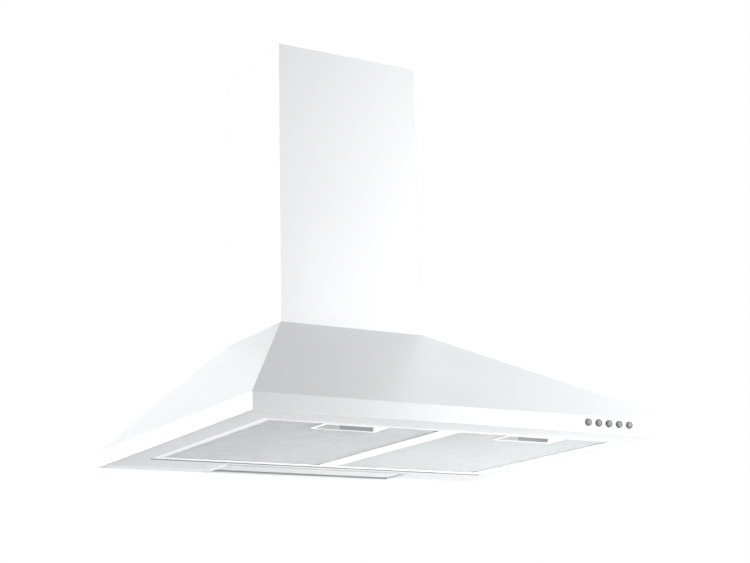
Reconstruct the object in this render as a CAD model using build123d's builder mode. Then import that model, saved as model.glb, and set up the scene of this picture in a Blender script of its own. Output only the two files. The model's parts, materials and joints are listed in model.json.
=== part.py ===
from build123d import *
from math import acos, cos, degrees, radians, sin
import os

# Wall-mounted chimney range hood, in millimetres.
# Origin: in the wall plane, midway between the two keyholes that the hood hangs from.
# +X is to the right as seen from the cooker, +Y runs into the wall, +Z is up.

# Driving sizes of the canopy
CANOPY_W = 600.0          # overall width
CANOPY_D = 500.0          # wall to front fascia
FASCIA_H = 20.0           # slim upright band round the rim
SLOPE_H = 162.0           # rise of the pyramid above the fascia
SHEET = 1.0               # steel sheet of every panel
EDGE_R = 1.6              # rounding of the folded outer edges
HANG_Z = 130.0            # keyholes above the rim

# Driving sizes of the chimney
CHIMNEY_W = 220.0
CHIMNEY_D = 180.0
CHIMNEY_H = 400.0         # lower section
SEAM_W = 12.0             # inward flange where the chimney stands on the canopy
SEAM_SCREW_EDGE = 1.0     # flange edge to screw head
SEAM_SCREW_REAR = 54.0    # rear side screws from the wall
SEAM_SCREW_FRONT = 45.0   # front side screws from the chimney's front
SEAM_SCREW_X = 55.0       # front screws from the middle
REAR_RETURN = 18.0        # inward return along the wall
SLIDE_GAP = 0.6           # play of the upper section inside the lower one
UPPER_DROP = 2.0          # top of the nested upper section below the lower one's
VENT_ROWS = 6
VENT_L = 42.0
VENT_W = 4.0
VENT_PITCH = 11.0
VENT_BELOW_TOP = 60.0     # middle of the vent field

# Wall fixings
HANG_X = 120.0            # keyholes either side of the middle
KEYHOLE_R = 7.0
KEYHOLE_SLOT_W = 7.0
KEYHOLE_RISE = 14.0
LOCK_X = 215.0            # screws that stop the hood from being lifted off
LOCK_Z = 40.0             # above the rim
LOCK_R = 3.0
BRACKET_HOLE_X = 60.0
BRACKET_HOLE_R = 3.0
BRACKET_H = 30.0
BRACKET_T = 1.5
BRACKET_ARM = 32.0        # reach of each arm along the chimney's side

# Underside panel and its openings
PANEL_RECESS = 2.5        # panel above the rim plane
FILTER_OPEN_W = 513.0
FILTER_OPEN_FRONT = 62.0  # front edge of the opening from the front fascia
FILTER_OPEN_REAR = 84.0   # rear edge of the opening from the wall
LIP_H = 5.8               # upturned lip at the front and sides of the filters
LAMP_OPEN_W = 280.0
LAMP_OPEN_D = 58.0
LAMP_OPEN_REAR = 16.0
LAMP_COLLAR_H = 12.0      # collar round the lamp, from the rim plane up

# Grease filters
FILTER_GAP = 1.5          # play round and between the filters
FILTER_RECESS = 0.8       # filters above the panel's lower face
FILTER_T = 9.0
FILTER_BAR = 11.0         # visible width of the frame
FILTER_EDGE_R = 0.8
MESH_T = 5.0
MESH_LIFT = 1.0           # mesh above the frame's lower face
MESH_GRIP = 3.5           # mesh edge held in the frame's groove
MESH_PLAY = 0.1
MESH_STRAND = 5.0         # metal between the diamond openings
MESH_PITCH_X = 36.0
MESH_PITCH_Y = 26.0
TAB_W = 30.0
TAB_T = 1.5
TAB_PLAY = 0.2            # tab above the panel that it hooks over
TAB_ROOT = 4.0            # tab inside the frame's rear bar
TAB_REACH = 6.0           # past the rear edge of the opening
TAB_SPREAD = 150.0        # between the two tabs of a filter

# Filter handles and latches
HANDLE_W = 78.0
HANDLE_D = 30.0
HANDLE_FROM_BAR = 8.0     # pocket behind the frame's front bar
HANDLE_WALL = 1.2
HANDLE_RIM = 3.0          # flange round the pocket
HANDLE_RIM_T = 0.8
HANDLE_H = 9.6            # flange to pocket ceiling
LATCH_W = 66.0
LATCH_T = 3.0
LATCH_PLATE_D = 12.0
LATCH_PLATE_T = 1.2
LATCH_PLAY = 0.3
LATCH_LIFT = 2.4          # finger edge above the frame's lower face
TONGUE_W = 30.0
TONGUE_T = 2.0
TONGUE_PLAY = 0.4

# Lamp
LENS_PLAY = 1.0
LENS_T = 2.5
LENS_RECESS = 2.5         # lens above the rim plane
LENS_RIM_W = 1.6
LENS_RIM_H = 3.0
LENS_EDGE_R = 0.8
LENS_PIN_R = 1.5
LENS_PIN_IN = 3.0         # hinge pin from the rear edge of the opening
LENS_PIN_UP = 4.5         # hinge pin above the rim
PIN_PLAY = 0.3
TRAY_GAP = 0.3
TRAY_H = 43.5
HOLDER_R = 13.0
HOLDER_L = 30.0
HOLDER_EDGE = 1.5
BULB_R = 16.0
BULB_L = 62.0
BULB_NECK_R = 8.0
BULB_TURN = 115.0         # degrees of the globe before it runs into the neck
CAP_R = 6.8               # brass screw cap
CAP_L = 20.0
LAMP_UP = 25.5            # lamp axis above the rim

# Buttons
BUTTON_COUNT = 5
BUTTON_PITCH = 15.6
BUTTON_FROM_SIDE = 121.0  # middle button from the canopy's right side
BUTTON_UP = 12.0          # above the rim
BUTTON_R = 4.4
BUTTON_PLAY = 0.3
BUTTON_PROUD = 2.4
BUTTON_L = 14.0
BUTTON_FLANGE_R = 5.4
BUTTON_FLANGE_T = 1.6
BUTTON_TRAVEL = 2.4
BUTTON_EDGE = 0.7
SWITCH_MARGIN = 9.0       # housing beyond the outer buttons
SWITCH_D = 32.0
SWITCH_OVER = 6.4         # housing above the buttons' axis

# Blower
SCROLL_R = 66.0           # first arc of the scroll
SCROLL_STEP = 8.0         # growth from arc to arc
CUTOFF_X = 37.0           # outlet's inner wall from the fan axis
SCROLL_W = 84.0           # along the fan axis
SCROLL_REAR = 53.0        # rear face of the scroll from the wall
SCROLL_WALL = 1.5
BLOWER_UP = 128.0         # fan axis above the rim
OUTLET_UP = 100.0         # outlet mouth above the fan axis
OUTLET_FLANGE = 8.0
IMPELLER_R = 58.0
BLADE_DEPTH = 11.0
BLADE_COUNT = 32
BLADE_T = 1.2
BLADE_SWEEP = 9.0         # degrees by which the outer edge leads
BLADE_EDGE_GAP = 0.4      # blade edges inside the disc and ring
IMPELLER_W = 68.0
IMPELLER_GAP = 7.0        # disc to the scroll's rear wall
DISC_T = 2.0
RING_T = 2.0
HUB_R = 12.0
HUB_L = 22.0
SHAFT_R = 4.0
SHAFT_PLAY = 0.1
HUB_PLAY = 0.05           # tight fit of hub and nut on the shaft
SHAFT_IN_MOTOR = 20.0
NUT_R = 7.5
NUT_T = 6.0
INLET_R = 45.0
INLET_FLANGE = 16.0
INLET_T = 1.5
INLET_DEPTH = 7.0
MOTOR_R = 42.0
MOTOR_L = 36.0
MOTOR_EDGE = 6.0
MOTOR_PLATE_R = 46.0
MOTOR_PLATE_T = 1.5
MOTOR_PLATE_PLAY = 1.7    # plate's hole round the shaft
MOTOR_HOLE_R = 20.0
HANGER_H = 80.0
HANGER_SCREWS = 54.0      # between the two screws of a flange
HANGER_T = 1.5
HANGER_FLANGE = 17.0
HANGER_INSET = 6.0        # hanger inside the scroll's side

# Outlet adaptor and non-return flaps
DUCT_R = 60.0             # outside of the round spigot
DUCT_WALL = 2.0
DUCT_L = 55.0
ADAPTOR_H = 35.0
ADAPTOR_BASE_T = 2.0
LEDGE_W = 4.0
LEDGE_T = 1.5
FLAP_UP = 22.0            # hinge pin above the foot of the round spigot
FLAP_T = 1.0
FLAP_PLAY = 1.5           # flap edge to the spigot's bore
FLAP_PIN_R = 1.5
KNUCKLE_R = 2.8
KNUCKLE_L = 14.0
KNUCKLE_PLAY = 0.3
KNUCKLE_SPREAD = 34.0     # middle of the spigot to a knuckle pair

# Terminal box and capacitor
BOX_W = 50.0
BOX_H = 40.0
BOX_D = 36.0
BOX_WALL = 2.0
BOX_X = -155.0
BOX_UP = 52.0             # foot of the box above the rim
LID_T = 2.0
LID_RIM = 1.8             # rim that locates the lid
LID_RIM_H = 2.0
GLAND_R = 8.0
GLAND_BORE_R = 4.5
GLAND_L = 12.0
GLAND_NUT_T = 4.0
BLOCK_W = 30.0
BLOCK_H = 14.0
BLOCK_D = 12.0
BLOCK_POLES = 3
BLOCK_HOLE_R = 2.0
CAPACITOR_R = 15.0
CAPACITOR_L = 52.0
CAPACITOR_EDGE = 2.5
CAPACITOR_X = 145.0
CAPACITOR_UP = 58.0
CLIP_T = 1.2
CLIP_H = 18.0
CLIP_EAR = 10.0

# Screws and fixed fits
FIT_PLAY = 0.2
SCREW_R = 2.0
SCREW_PLAY = 0.2
SCREW_HEAD_R = 3.5
SCREW_HEAD_H = 2.4
SCREW_HEAD_EDGE = 0.8
SCREW_L = 6.0

# Levels and planes worked out from the driving sizes
RIM_Z = -HANG_Z
FASCIA_Z = RIM_Z + FASCIA_H
SEAM_Z = FASCIA_Z + SLOPE_H
TOP_Z = SEAM_Z + CHIMNEY_H
FRONT_Y = -CANOPY_D
LINING_Y = -SHEET         # inner face of the back panel
PANEL_Z = RIM_Z + PANEL_RECESS
PANEL_TOP = PANEL_Z + SHEET
FILTER_Z = PANEL_Z + FILTER_RECESS
FILTER_OPEN_D = CANOPY_D - FILTER_OPEN_FRONT - FILTER_OPEN_REAR

FRONT_VIEW = [
    (-CANOPY_W / 2, RIM_Z),
    (CANOPY_W / 2, RIM_Z),
    (CANOPY_W / 2, FASCIA_Z),
    (CHIMNEY_W / 2, SEAM_Z),
    (-CHIMNEY_W / 2, SEAM_Z),
    (-CANOPY_W / 2, FASCIA_Z),
]
SIDE_VIEW = [
    (LINING_Y, RIM_Z),
    (FRONT_Y, RIM_Z),
    (FRONT_Y, FASCIA_Z),
    (-CHIMNEY_D, SEAM_Z),
    (LINING_Y, SEAM_Z),
]
BUTTON_MID_X = CANOPY_W / 2 - BUTTON_FROM_SIDE
BUTTON_XS = [BUTTON_MID_X + (k - (BUTTON_COUNT - 1) / 2) * BUTTON_PITCH for k in range(BUTTON_COUNT)]
BUTTON_Z = RIM_Z + BUTTON_UP

SEAM_SCREW_IN = SEAM_W - SCREW_HEAD_R - SEAM_SCREW_EDGE
SEAM_SCREWS = [
    (side * (CHIMNEY_W / 2 - SEAM_SCREW_IN), y)
    for side in (-1, 1)
    for y in (-SEAM_SCREW_REAR, SEAM_SCREW_FRONT - CHIMNEY_D)
]
SEAM_SCREWS += [(side * SEAM_SCREW_X, SEAM_SCREW_IN - CHIMNEY_D) for side in (-1, 1)]

# Scroll of the blower, about the fan axis: three arcs whose centres step round a small square
SCROLL_CENTRES = [
    (SCROLL_STEP / 2, -SCROLL_STEP / 2),
    (-SCROLL_STEP / 2, -SCROLL_STEP / 2),
    (-SCROLL_STEP / 2, SCROLL_STEP / 2),
]
SCROLL_RADII = [SCROLL_R, SCROLL_R + SCROLL_STEP, SCROLL_R + 2 * SCROLL_STEP]
OUTLET_WALL_X = SCROLL_CENTRES[2][0] - SCROLL_RADII[2]
OUTLET_W = CUTOFF_X - OUTLET_WALL_X
BLOWER_X = -(CUTOFF_X + OUTLET_WALL_X) / 2
BLOWER_Z = RIM_Z + BLOWER_UP
OUTLET_Z = BLOWER_Z + OUTLET_UP
SCROLL_FRONT = SCROLL_REAR + SCROLL_W
SCROLL_MID = SCROLL_REAR + SCROLL_W / 2
FAN_PLANE = Plane(origin=(BLOWER_X, 0, BLOWER_Z), x_dir=(1, 0, 0), z_dir=(0, -1, 0))

# Hangers of the blower: outer edge and the way its flanges point
HANGERS = {
    "left": (-OUTLET_W / 2 + HANGER_INSET, 1),
    "right": (BLOWER_X + SCROLL_R + SCROLL_STEP / 2 - HANGER_INSET, -1),
}
BLOWER_SCREWS = [
    (edge + way * (HANGER_FLANGE + HANGER_T) / 2, BLOWER_Z + end * HANGER_SCREWS / 2)
    for edge, way in HANGERS.values()
    for end in (-1, 1)
]

os.makedirs("parts", exist_ok=True)


def scroll_outline(skin):
    """Draw the scroll's outline, skin outside its air passage, about the fan axis."""
    first, second, third = SCROLL_CENTRES
    cut = degrees(acos((CUTOFF_X + skin - first[0]) / (SCROLL_RADII[0] + skin)))
    CenterArc(first, SCROLL_RADII[0] + skin, cut, -cut)
    CenterArc(second, SCROLL_RADII[1] + skin, 0, -90)
    CenterArc(third, SCROLL_RADII[2] + skin, -90, -90)
    foot = first[1] + (SCROLL_RADII[0] + skin) * sin(radians(cut))
    Polyline(
        (OUTLET_WALL_X - skin, third[1]),
        (OUTLET_WALL_X - skin, OUTLET_UP),
        (CUTOFF_X + skin, OUTLET_UP),
        (CUTOFF_X + skin, foot),
    )


def polar(radius, angle):
    """Point at this radius and angle in degrees."""
    return (radius * cos(radians(angle)), radius * sin(radians(angle)))


# Canopy: the front view and the side view of the pyramid, crossed and shelled
with BuildPart() as canopy_shell:
    with BuildSketch(Plane.XZ.offset(SHEET)):
        with BuildLine():
            Polyline(*FRONT_VIEW, close=True)
        make_face()
    extrude(amount=CANOPY_D - SHEET)
    with BuildSketch(Plane.YZ.offset(-CANOPY_W / 2)):
        with BuildLine():
            Polyline(*SIDE_VIEW, close=True)
        make_face()
    extrude(amount=CANOPY_W, mode=Mode.INTERSECT)
    top_edges = canopy_shell.faces().sort_by(Axis.Z)[-1].edges()
    rim_edges = canopy_shell.faces().sort_by(Axis.Z)[0].edges()
    back_edges = canopy_shell.faces().sort_by(Axis.Y)[-1].edges()
    fillet(canopy_shell.edges() - top_edges - rim_edges - back_edges, EDGE_R)
    open_rim = canopy_shell.faces().sort_by(Axis.Z)[0]
    open_back = canopy_shell.faces().sort_by(Axis.Y)[-1]
    offset(amount=-SHEET, openings=[open_rim, open_back])
    with BuildSketch(Plane.XY.offset(SEAM_Z)):
        with Locations((0, -(CHIMNEY_D - SEAM_W) / 2)):
            Rectangle(CHIMNEY_W - 2 * SEAM_W, CHIMNEY_D - SEAM_W)
        with Locations(*SEAM_SCREWS):
            Circle(SCREW_R + SCREW_PLAY)
    extrude(amount=-SHEET, mode=Mode.SUBTRACT)
    with BuildSketch(Plane.XZ.offset(CANOPY_D)):
        with Locations(*[(x, BUTTON_Z) for x in BUTTON_XS]):
            Circle(BUTTON_R + BUTTON_PLAY)
    extrude(amount=-SHEET, mode=Mode.SUBTRACT)
canopy_shell.part.label = "canopy_shell"
export_step(canopy_shell.part, "parts/canopy_shell.step")

# Back panel with its keyholes and locking-screw holes
with BuildPart() as back_panel:
    with BuildSketch(Plane.XZ):
        with BuildLine():
            Polyline(*FRONT_VIEW, close=True)
        make_face()
        with Locations((-HANG_X, 0), (HANG_X, 0)):
            Circle(KEYHOLE_R, mode=Mode.SUBTRACT)
        with Locations((-HANG_X, KEYHOLE_RISE / 2), (HANG_X, KEYHOLE_RISE / 2)):
            SlotCenterToCenter(KEYHOLE_RISE, KEYHOLE_SLOT_W, rotation=90, mode=Mode.SUBTRACT)
        with Locations((-LOCK_X, RIM_Z + LOCK_Z), (LOCK_X, RIM_Z + LOCK_Z)):
            Circle(LOCK_R, mode=Mode.SUBTRACT)
        with Locations(*BLOWER_SCREWS):
            Circle(SCREW_R + SCREW_PLAY, mode=Mode.SUBTRACT)
    extrude(amount=SHEET)
back_panel.part.label = "back_panel"
export_step(back_panel.part, "parts/back_panel.step")

# Underside panel: a plate with a lipped opening for the filters and a collared one for the lamp
FILTER_OPEN_Y = -(FILTER_OPEN_REAR + FILTER_OPEN_D / 2)
LAMP_OPEN_Y = -(LAMP_OPEN_REAR + LAMP_OPEN_D / 2)
LENS_AXIS_Y = -(LAMP_OPEN_REAR + LENS_PIN_IN)
LENS_AXIS_Z = RIM_Z + LENS_PIN_UP
with BuildPart() as underside_panel:
    with BuildSketch(Plane.XY.offset(PANEL_Z)):
        with Locations((0, -CANOPY_D / 2)):
            Rectangle(CANOPY_W - 2 * SHEET, CANOPY_D - 2 * SHEET)
    extrude(amount=SHEET)
    fillet(underside_panel.edges().filter_by(Axis.Z).group_by(Axis.Y)[0], EDGE_R)
    with BuildSketch(Plane.XY.offset(PANEL_Z)):
        with Locations((0, FILTER_OPEN_Y)):
            Rectangle(FILTER_OPEN_W + 2 * SHEET, FILTER_OPEN_D + 2 * SHEET)
    extrude(amount=LIP_H)
    with BuildSketch(Plane.XY.offset(RIM_Z)):
        with Locations((0, LAMP_OPEN_Y)):
            Rectangle(LAMP_OPEN_W + 2 * SHEET, LAMP_OPEN_D + 2 * SHEET)
    extrude(amount=LAMP_COLLAR_H)
    with BuildSketch(Plane.XY.offset(RIM_Z)):
        with Locations((0, FILTER_OPEN_Y)):
            Rectangle(FILTER_OPEN_W, FILTER_OPEN_D)
        with Locations((0, LAMP_OPEN_Y)):
            Rectangle(LAMP_OPEN_W, LAMP_OPEN_D)
    extrude(amount=max(PANEL_RECESS + LIP_H, LAMP_COLLAR_H), mode=Mode.SUBTRACT)
    # The filters' tabs hook over a plain rear edge
    with BuildSketch(Plane.XY.offset(PANEL_TOP)):
        with Locations((0, -FILTER_OPEN_REAR + SHEET / 2)):
            Rectangle(FILTER_OPEN_W + 2 * SHEET, SHEET)
    extrude(amount=LIP_H - SHEET, mode=Mode.SUBTRACT)
    with BuildSketch(Plane.YZ):
        with Locations((LENS_AXIS_Y, LENS_AXIS_Z)):
            Circle(LENS_PIN_R + PIN_PLAY)
    extrude(amount=LAMP_OPEN_W / 2 + SHEET, both=True, mode=Mode.SUBTRACT)
underside_panel.part.label = "underside_panel"
export_step(underside_panel.part, "parts/underside_panel.step")

# Lower chimney: a three-sided channel with returns along the wall and a foot flange
with BuildPart() as lower_chimney:
    with BuildSketch(Plane.XY.offset(SEAM_Z)):
        with Locations((0, -CHIMNEY_D / 2)):
            Rectangle(CHIMNEY_W, CHIMNEY_D)
            Rectangle(CHIMNEY_W - 2 * SHEET, CHIMNEY_D - 2 * SHEET, mode=Mode.SUBTRACT)
        with Locations((0, -SHEET / 2)):
            Rectangle(CHIMNEY_W - 2 * REAR_RETURN, SHEET, mode=Mode.SUBTRACT)
    extrude(amount=CHIMNEY_H)
    folds = lower_chimney.edges().filter_by(Axis.Z)
    fillet(folds.group_by(Axis.Y)[0], EDGE_R)
    with BuildSketch(Plane.XY.offset(SEAM_Z)):
        with Locations((0, -CHIMNEY_D / 2)):
            Rectangle(CHIMNEY_W - 2 * SHEET, CHIMNEY_D - 2 * SHEET)
        with Locations((0, -(CHIMNEY_D - SEAM_W) / 2)):
            Rectangle(CHIMNEY_W - 2 * SEAM_W, CHIMNEY_D - SEAM_W, mode=Mode.SUBTRACT)
        with Locations(*SEAM_SCREWS):
            Circle(SCREW_R + SCREW_PLAY, mode=Mode.SUBTRACT)
    extrude(amount=SHEET)
lower_chimney.part.label = "lower_chimney"
export_step(lower_chimney.part, "parts/lower_chimney.step")

# Upper chimney: the same channel, nested inside with play, with vent slots near its top
UPPER_W = CHIMNEY_W - 2 * (SHEET + SLIDE_GAP)
UPPER_FRONT = CHIMNEY_D - SHEET - SLIDE_GAP
UPPER_REAR = SHEET + SLIDE_GAP
UPPER_D = UPPER_FRONT - UPPER_REAR
UPPER_FOOT = SEAM_Z + SHEET + SLIDE_GAP
UPPER_TOP = TOP_Z - UPPER_DROP
with BuildPart() as upper_chimney:
    with BuildSketch(Plane.XY.offset(UPPER_FOOT)):
        with Locations((0, -(UPPER_FRONT + UPPER_REAR) / 2)):
            Rectangle(UPPER_W, UPPER_D)
            Rectangle(UPPER_W - 2 * SHEET, UPPER_D - 2 * SHEET, mode=Mode.SUBTRACT)
        with Locations((0, -UPPER_REAR - SHEET / 2)):
            Rectangle(UPPER_W - 2 * REAR_RETURN, SHEET, mode=Mode.SUBTRACT)
    extrude(amount=UPPER_TOP - UPPER_FOOT)
    with BuildSketch(Plane.YZ):
        with Locations((-(UPPER_FRONT + UPPER_REAR) / 2, UPPER_TOP - VENT_BELOW_TOP)):
            with GridLocations(VENT_L, VENT_PITCH, 1, VENT_ROWS):
                SlotOverall(VENT_L, VENT_W)
    extrude(amount=CHIMNEY_W / 2, both=True, mode=Mode.SUBTRACT)
upper_chimney.part.label = "upper_chimney"
export_step(upper_chimney.part, "parts/upper_chimney.step")

# Wall bracket at the top of the upper chimney: one bent strip, seen from above
ARM_X = UPPER_W / 2 - SHEET
STEP_Y = -(UPPER_REAR + SHEET)
PLATE_X = UPPER_W / 2 - REAR_RETURN - BRACKET_T
with BuildPart() as chimney_bracket:
    with BuildSketch(Plane.XY.offset(UPPER_TOP - BRACKET_H)):
        with Locations((0, -BRACKET_T / 2)):
            Rectangle(2 * PLATE_X, BRACKET_T)
        for side in (-1, 1):
            with Locations((side * (PLATE_X - BRACKET_T / 2), (STEP_Y - BRACKET_T) / 2)):
                Rectangle(BRACKET_T, BRACKET_T - STEP_Y)
            with Locations((side * (PLATE_X - BRACKET_T + ARM_X) / 2, STEP_Y - BRACKET_T / 2)):
                Rectangle(ARM_X - PLATE_X + BRACKET_T, BRACKET_T)
            with Locations((side * (ARM_X - BRACKET_T / 2), STEP_Y - BRACKET_ARM / 2)):
                Rectangle(BRACKET_T, BRACKET_ARM)
    extrude(amount=BRACKET_H)
    with BuildSketch(Plane.XZ):
        with Locations(*[(side * BRACKET_HOLE_X, UPPER_TOP - BRACKET_H / 2) for side in (-1, 1)]):
            Circle(BRACKET_HOLE_R)
    extrude(amount=BRACKET_T, mode=Mode.SUBTRACT)
chimney_bracket.part.label = "chimney_bracket"
export_step(chimney_bracket.part, "parts/chimney_bracket.step")

# Screws through the seam between canopy and chimney
with BuildPart() as seam_screws:
    with BuildSketch(Plane.XY.offset(SEAM_Z + SHEET)):
        with Locations(*SEAM_SCREWS):
            Circle(SCREW_HEAD_R)
    extrude(amount=SCREW_HEAD_H)
    chamfer(seam_screws.edges().group_by(Axis.Z)[-1], SCREW_HEAD_EDGE)
    with BuildSketch(Plane.XY.offset(SEAM_Z + SHEET)):
        with Locations(*SEAM_SCREWS):
            Circle(SCREW_R)
    extrude(amount=-SCREW_L)
seam_screws.part.label = "seam_screws"
export_step(seam_screws.part, "parts/seam_screws.step")

# Grease filters, one each side of the middle
FILTER_W = (FILTER_OPEN_W - 3 * FILTER_GAP) / 2
FILTER_D = FILTER_OPEN_D - 2 * FILTER_GAP
FILTER_X = (FILTER_W + FILTER_GAP) / 2
FILTER_REAR_Y = -(FILTER_OPEN_REAR + FILTER_GAP)
FILTER_FRONT_Y = FILTER_REAR_Y - FILTER_D
WINDOW_W = FILTER_W - 2 * FILTER_BAR
WINDOW_D = FILTER_D - 2 * FILTER_BAR
POCKET_FRONT_Y = FILTER_FRONT_Y + FILTER_BAR + HANDLE_FROM_BAR
POCKET_Y = POCKET_FRONT_Y + HANDLE_D / 2
POCKET_OUT_W = HANDLE_W + 2 * HANDLE_WALL
POCKET_OUT_D = HANDLE_D + 2 * HANDLE_WALL
MESH_Z = FILTER_Z + MESH_LIFT
TONGUE_Z = PANEL_Z + LIP_H + TONGUE_PLAY
TONGUE_TIP_Y = -(FILTER_OPEN_REAR + FILTER_OPEN_D) + TONGUE_PLAY
LATCH_FRONT_Y = POCKET_FRONT_Y + LATCH_PLAY
POCKET_CEILING = MESH_Z - HANDLE_RIM_T + HANDLE_H
DIAMOND_W = MESH_PITCH_X - MESH_STRAND
DIAMOND_D = MESH_PITCH_Y - MESH_STRAND
DIAMOND = [(-DIAMOND_W / 2, 0), (0, -DIAMOND_D / 2), (DIAMOND_W / 2, 0), (0, DIAMOND_D / 2)]


def mesh_openings():
    """Centres of the diamonds about a filter's middle: two staggered grids, clear of the handle."""
    handle_y = POCKET_Y - FILTER_OPEN_Y + POCKET_OUT_D / 2
    centres = []
    for shift in (0, 0.5):
        columns = int((WINDOW_W - DIAMOND_W) / MESH_PITCH_X - 2 * shift) + 1
        rows = int((WINDOW_D - DIAMOND_D) / MESH_PITCH_Y - 2 * shift) + 1
        for i in range(columns):
            for j in range(rows):
                x = (i - (columns - 1) / 2) * MESH_PITCH_X
                y = (j - (rows - 1) / 2) * MESH_PITCH_Y
                beside = abs(x) > (POCKET_OUT_W + DIAMOND_W) / 2 + MESH_STRAND
                behind = y > handle_y + DIAMOND_D / 2 + MESH_STRAND
                if beside or behind:
                    centres.append((x, y))
    return centres


for side, name in ((-1, "left"), (1, "right")):
    mid_x = side * FILTER_X

    # Frame: a rectangular channel with a groove for the mesh, rear tabs and a latch slot
    with BuildPart() as filter_frame:
        with BuildSketch(Plane.XY.offset(FILTER_Z)):
            with Locations((mid_x, FILTER_OPEN_Y)):
                Rectangle(FILTER_W, FILTER_D)
        extrude(amount=FILTER_T)
        fillet(filter_frame.edges().group_by(Axis.Z)[0], FILTER_EDGE_R)
        with BuildSketch(Plane.XY.offset(FILTER_Z)):
            with Locations((mid_x, FILTER_OPEN_Y)):
                Rectangle(WINDOW_W, WINDOW_D)
        extrude(amount=FILTER_T, mode=Mode.SUBTRACT)
        with BuildSketch(Plane.XY.offset(MESH_Z - MESH_PLAY)):
            with Locations((mid_x, FILTER_OPEN_Y)):
                Rectangle(WINDOW_W + 2 * (MESH_GRIP + MESH_PLAY), WINDOW_D + 2 * (MESH_GRIP + MESH_PLAY))
        extrude(amount=MESH_T + 2 * MESH_PLAY, mode=Mode.SUBTRACT)
        with BuildSketch(Plane.XY.offset(PANEL_TOP + TAB_PLAY)):
            with Locations((mid_x, FILTER_REAR_Y + (FILTER_GAP + TAB_REACH - TAB_ROOT) / 2)):
                with GridLocations(TAB_SPREAD, 1, 2, 1):
                    Rectangle(TAB_W, FILTER_GAP + TAB_REACH + TAB_ROOT)
        extrude(amount=TAB_T)
        with BuildSketch(Plane.XZ.offset(-FILTER_FRONT_Y)):
            with Locations((mid_x, TONGUE_Z + TONGUE_T / 2)):
                Rectangle(TONGUE_W + 2 * TONGUE_PLAY, TONGUE_T + TONGUE_PLAY)
        extrude(amount=-FILTER_BAR, mode=Mode.SUBTRACT)
    filter_frame.part.label = f"filter_frame_{name}"
    export_step(filter_frame.part, f"parts/filter_frame_{name}.step")

    # Mesh: one expanded sheet with diamond openings, cut away round the handle
    with BuildPart() as filter_mesh:
        with BuildSketch(Plane.XY.offset(MESH_Z)):
            with Locations((mid_x, FILTER_OPEN_Y)):
                Rectangle(WINDOW_W + 2 * MESH_GRIP, WINDOW_D + 2 * MESH_GRIP)
                with Locations(*mesh_openings()):
                    Polygon(*DIAMOND, mode=Mode.SUBTRACT)
            with Locations((mid_x, POCKET_Y)):
                Rectangle(POCKET_OUT_W + 2 * MESH_PLAY, POCKET_OUT_D + 2 * MESH_PLAY, mode=Mode.SUBTRACT)
            with Locations((mid_x, POCKET_FRONT_Y - HANDLE_FROM_BAR)):
                Rectangle(TONGUE_W + 2 * TONGUE_PLAY, 2 * HANDLE_FROM_BAR, mode=Mode.SUBTRACT)
        extrude(amount=MESH_T)
    filter_mesh.part.label = f"filter_mesh_{name}"
    export_step(filter_mesh.part, f"parts/filter_mesh_{name}.step")

    # Handle: a flanged pocket for the fingers with a slot for the latch tongue
    with BuildPart() as filter_handle:
        with BuildSketch(Plane.XY.offset(MESH_Z - HANDLE_RIM_T)):
            with Locations((mid_x, POCKET_Y)):
                Rectangle(POCKET_OUT_W + 2 * HANDLE_RIM, POCKET_OUT_D + 2 * HANDLE_RIM)
        extrude(amount=HANDLE_RIM_T)
        with BuildSketch(Plane.XY.offset(MESH_Z - HANDLE_RIM_T)):
            with Locations((mid_x, POCKET_Y)):
                Rectangle(POCKET_OUT_W, POCKET_OUT_D)
        extrude(amount=HANDLE_H + HANDLE_WALL)
        with BuildSketch(Plane.XY.offset(MESH_Z - HANDLE_RIM_T)):
            with Locations((mid_x, POCKET_Y)):
                Rectangle(HANDLE_W, HANDLE_D)
        extrude(amount=HANDLE_H, mode=Mode.SUBTRACT)
        with BuildSketch(Plane.XZ.offset(-POCKET_FRONT_Y)):
            with Locations((mid_x, TONGUE_Z + TONGUE_T / 2)):
                Rectangle(TONGUE_W + 2 * TONGUE_PLAY, TONGUE_T + TONGUE_PLAY)
        extrude(amount=HANDLE_WALL, mode=Mode.SUBTRACT)
    filter_handle.part.label = f"filter_handle_{name}"
    export_step(filter_handle.part, f"parts/filter_handle_{name}.step")

    # Latch: a finger bar on a sliding plate, with a tongue through the frame
    with BuildPart() as filter_latch:
        with BuildSketch(Plane.XY.offset(FILTER_Z + LATCH_LIFT)):
            with Locations((mid_x, LATCH_FRONT_Y + LATCH_T / 2)):
                Rectangle(LATCH_W, LATCH_T)
        extrude(amount=POCKET_CEILING - LATCH_PLAY - FILTER_Z - LATCH_LIFT)
        with BuildSketch(Plane.XY.offset(POCKET_CEILING - LATCH_PLAY)):
            with Locations((mid_x, LATCH_FRONT_Y + LATCH_PLATE_D / 2)):
                Rectangle(LATCH_W, LATCH_PLATE_D)
        extrude(amount=-LATCH_PLATE_T)
        with BuildSketch(Plane.XY.offset(TONGUE_Z)):
            with Locations((mid_x, (LATCH_FRONT_Y + LATCH_T / 2 + TONGUE_TIP_Y) / 2)):
                Rectangle(TONGUE_W, LATCH_FRONT_Y + LATCH_T / 2 - TONGUE_TIP_Y)
        extrude(amount=TONGUE_T)
    filter_latch.part.label = f"filter_latch_{name}"
    export_step(filter_latch.part, f"parts/filter_latch_{name}.step")

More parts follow.
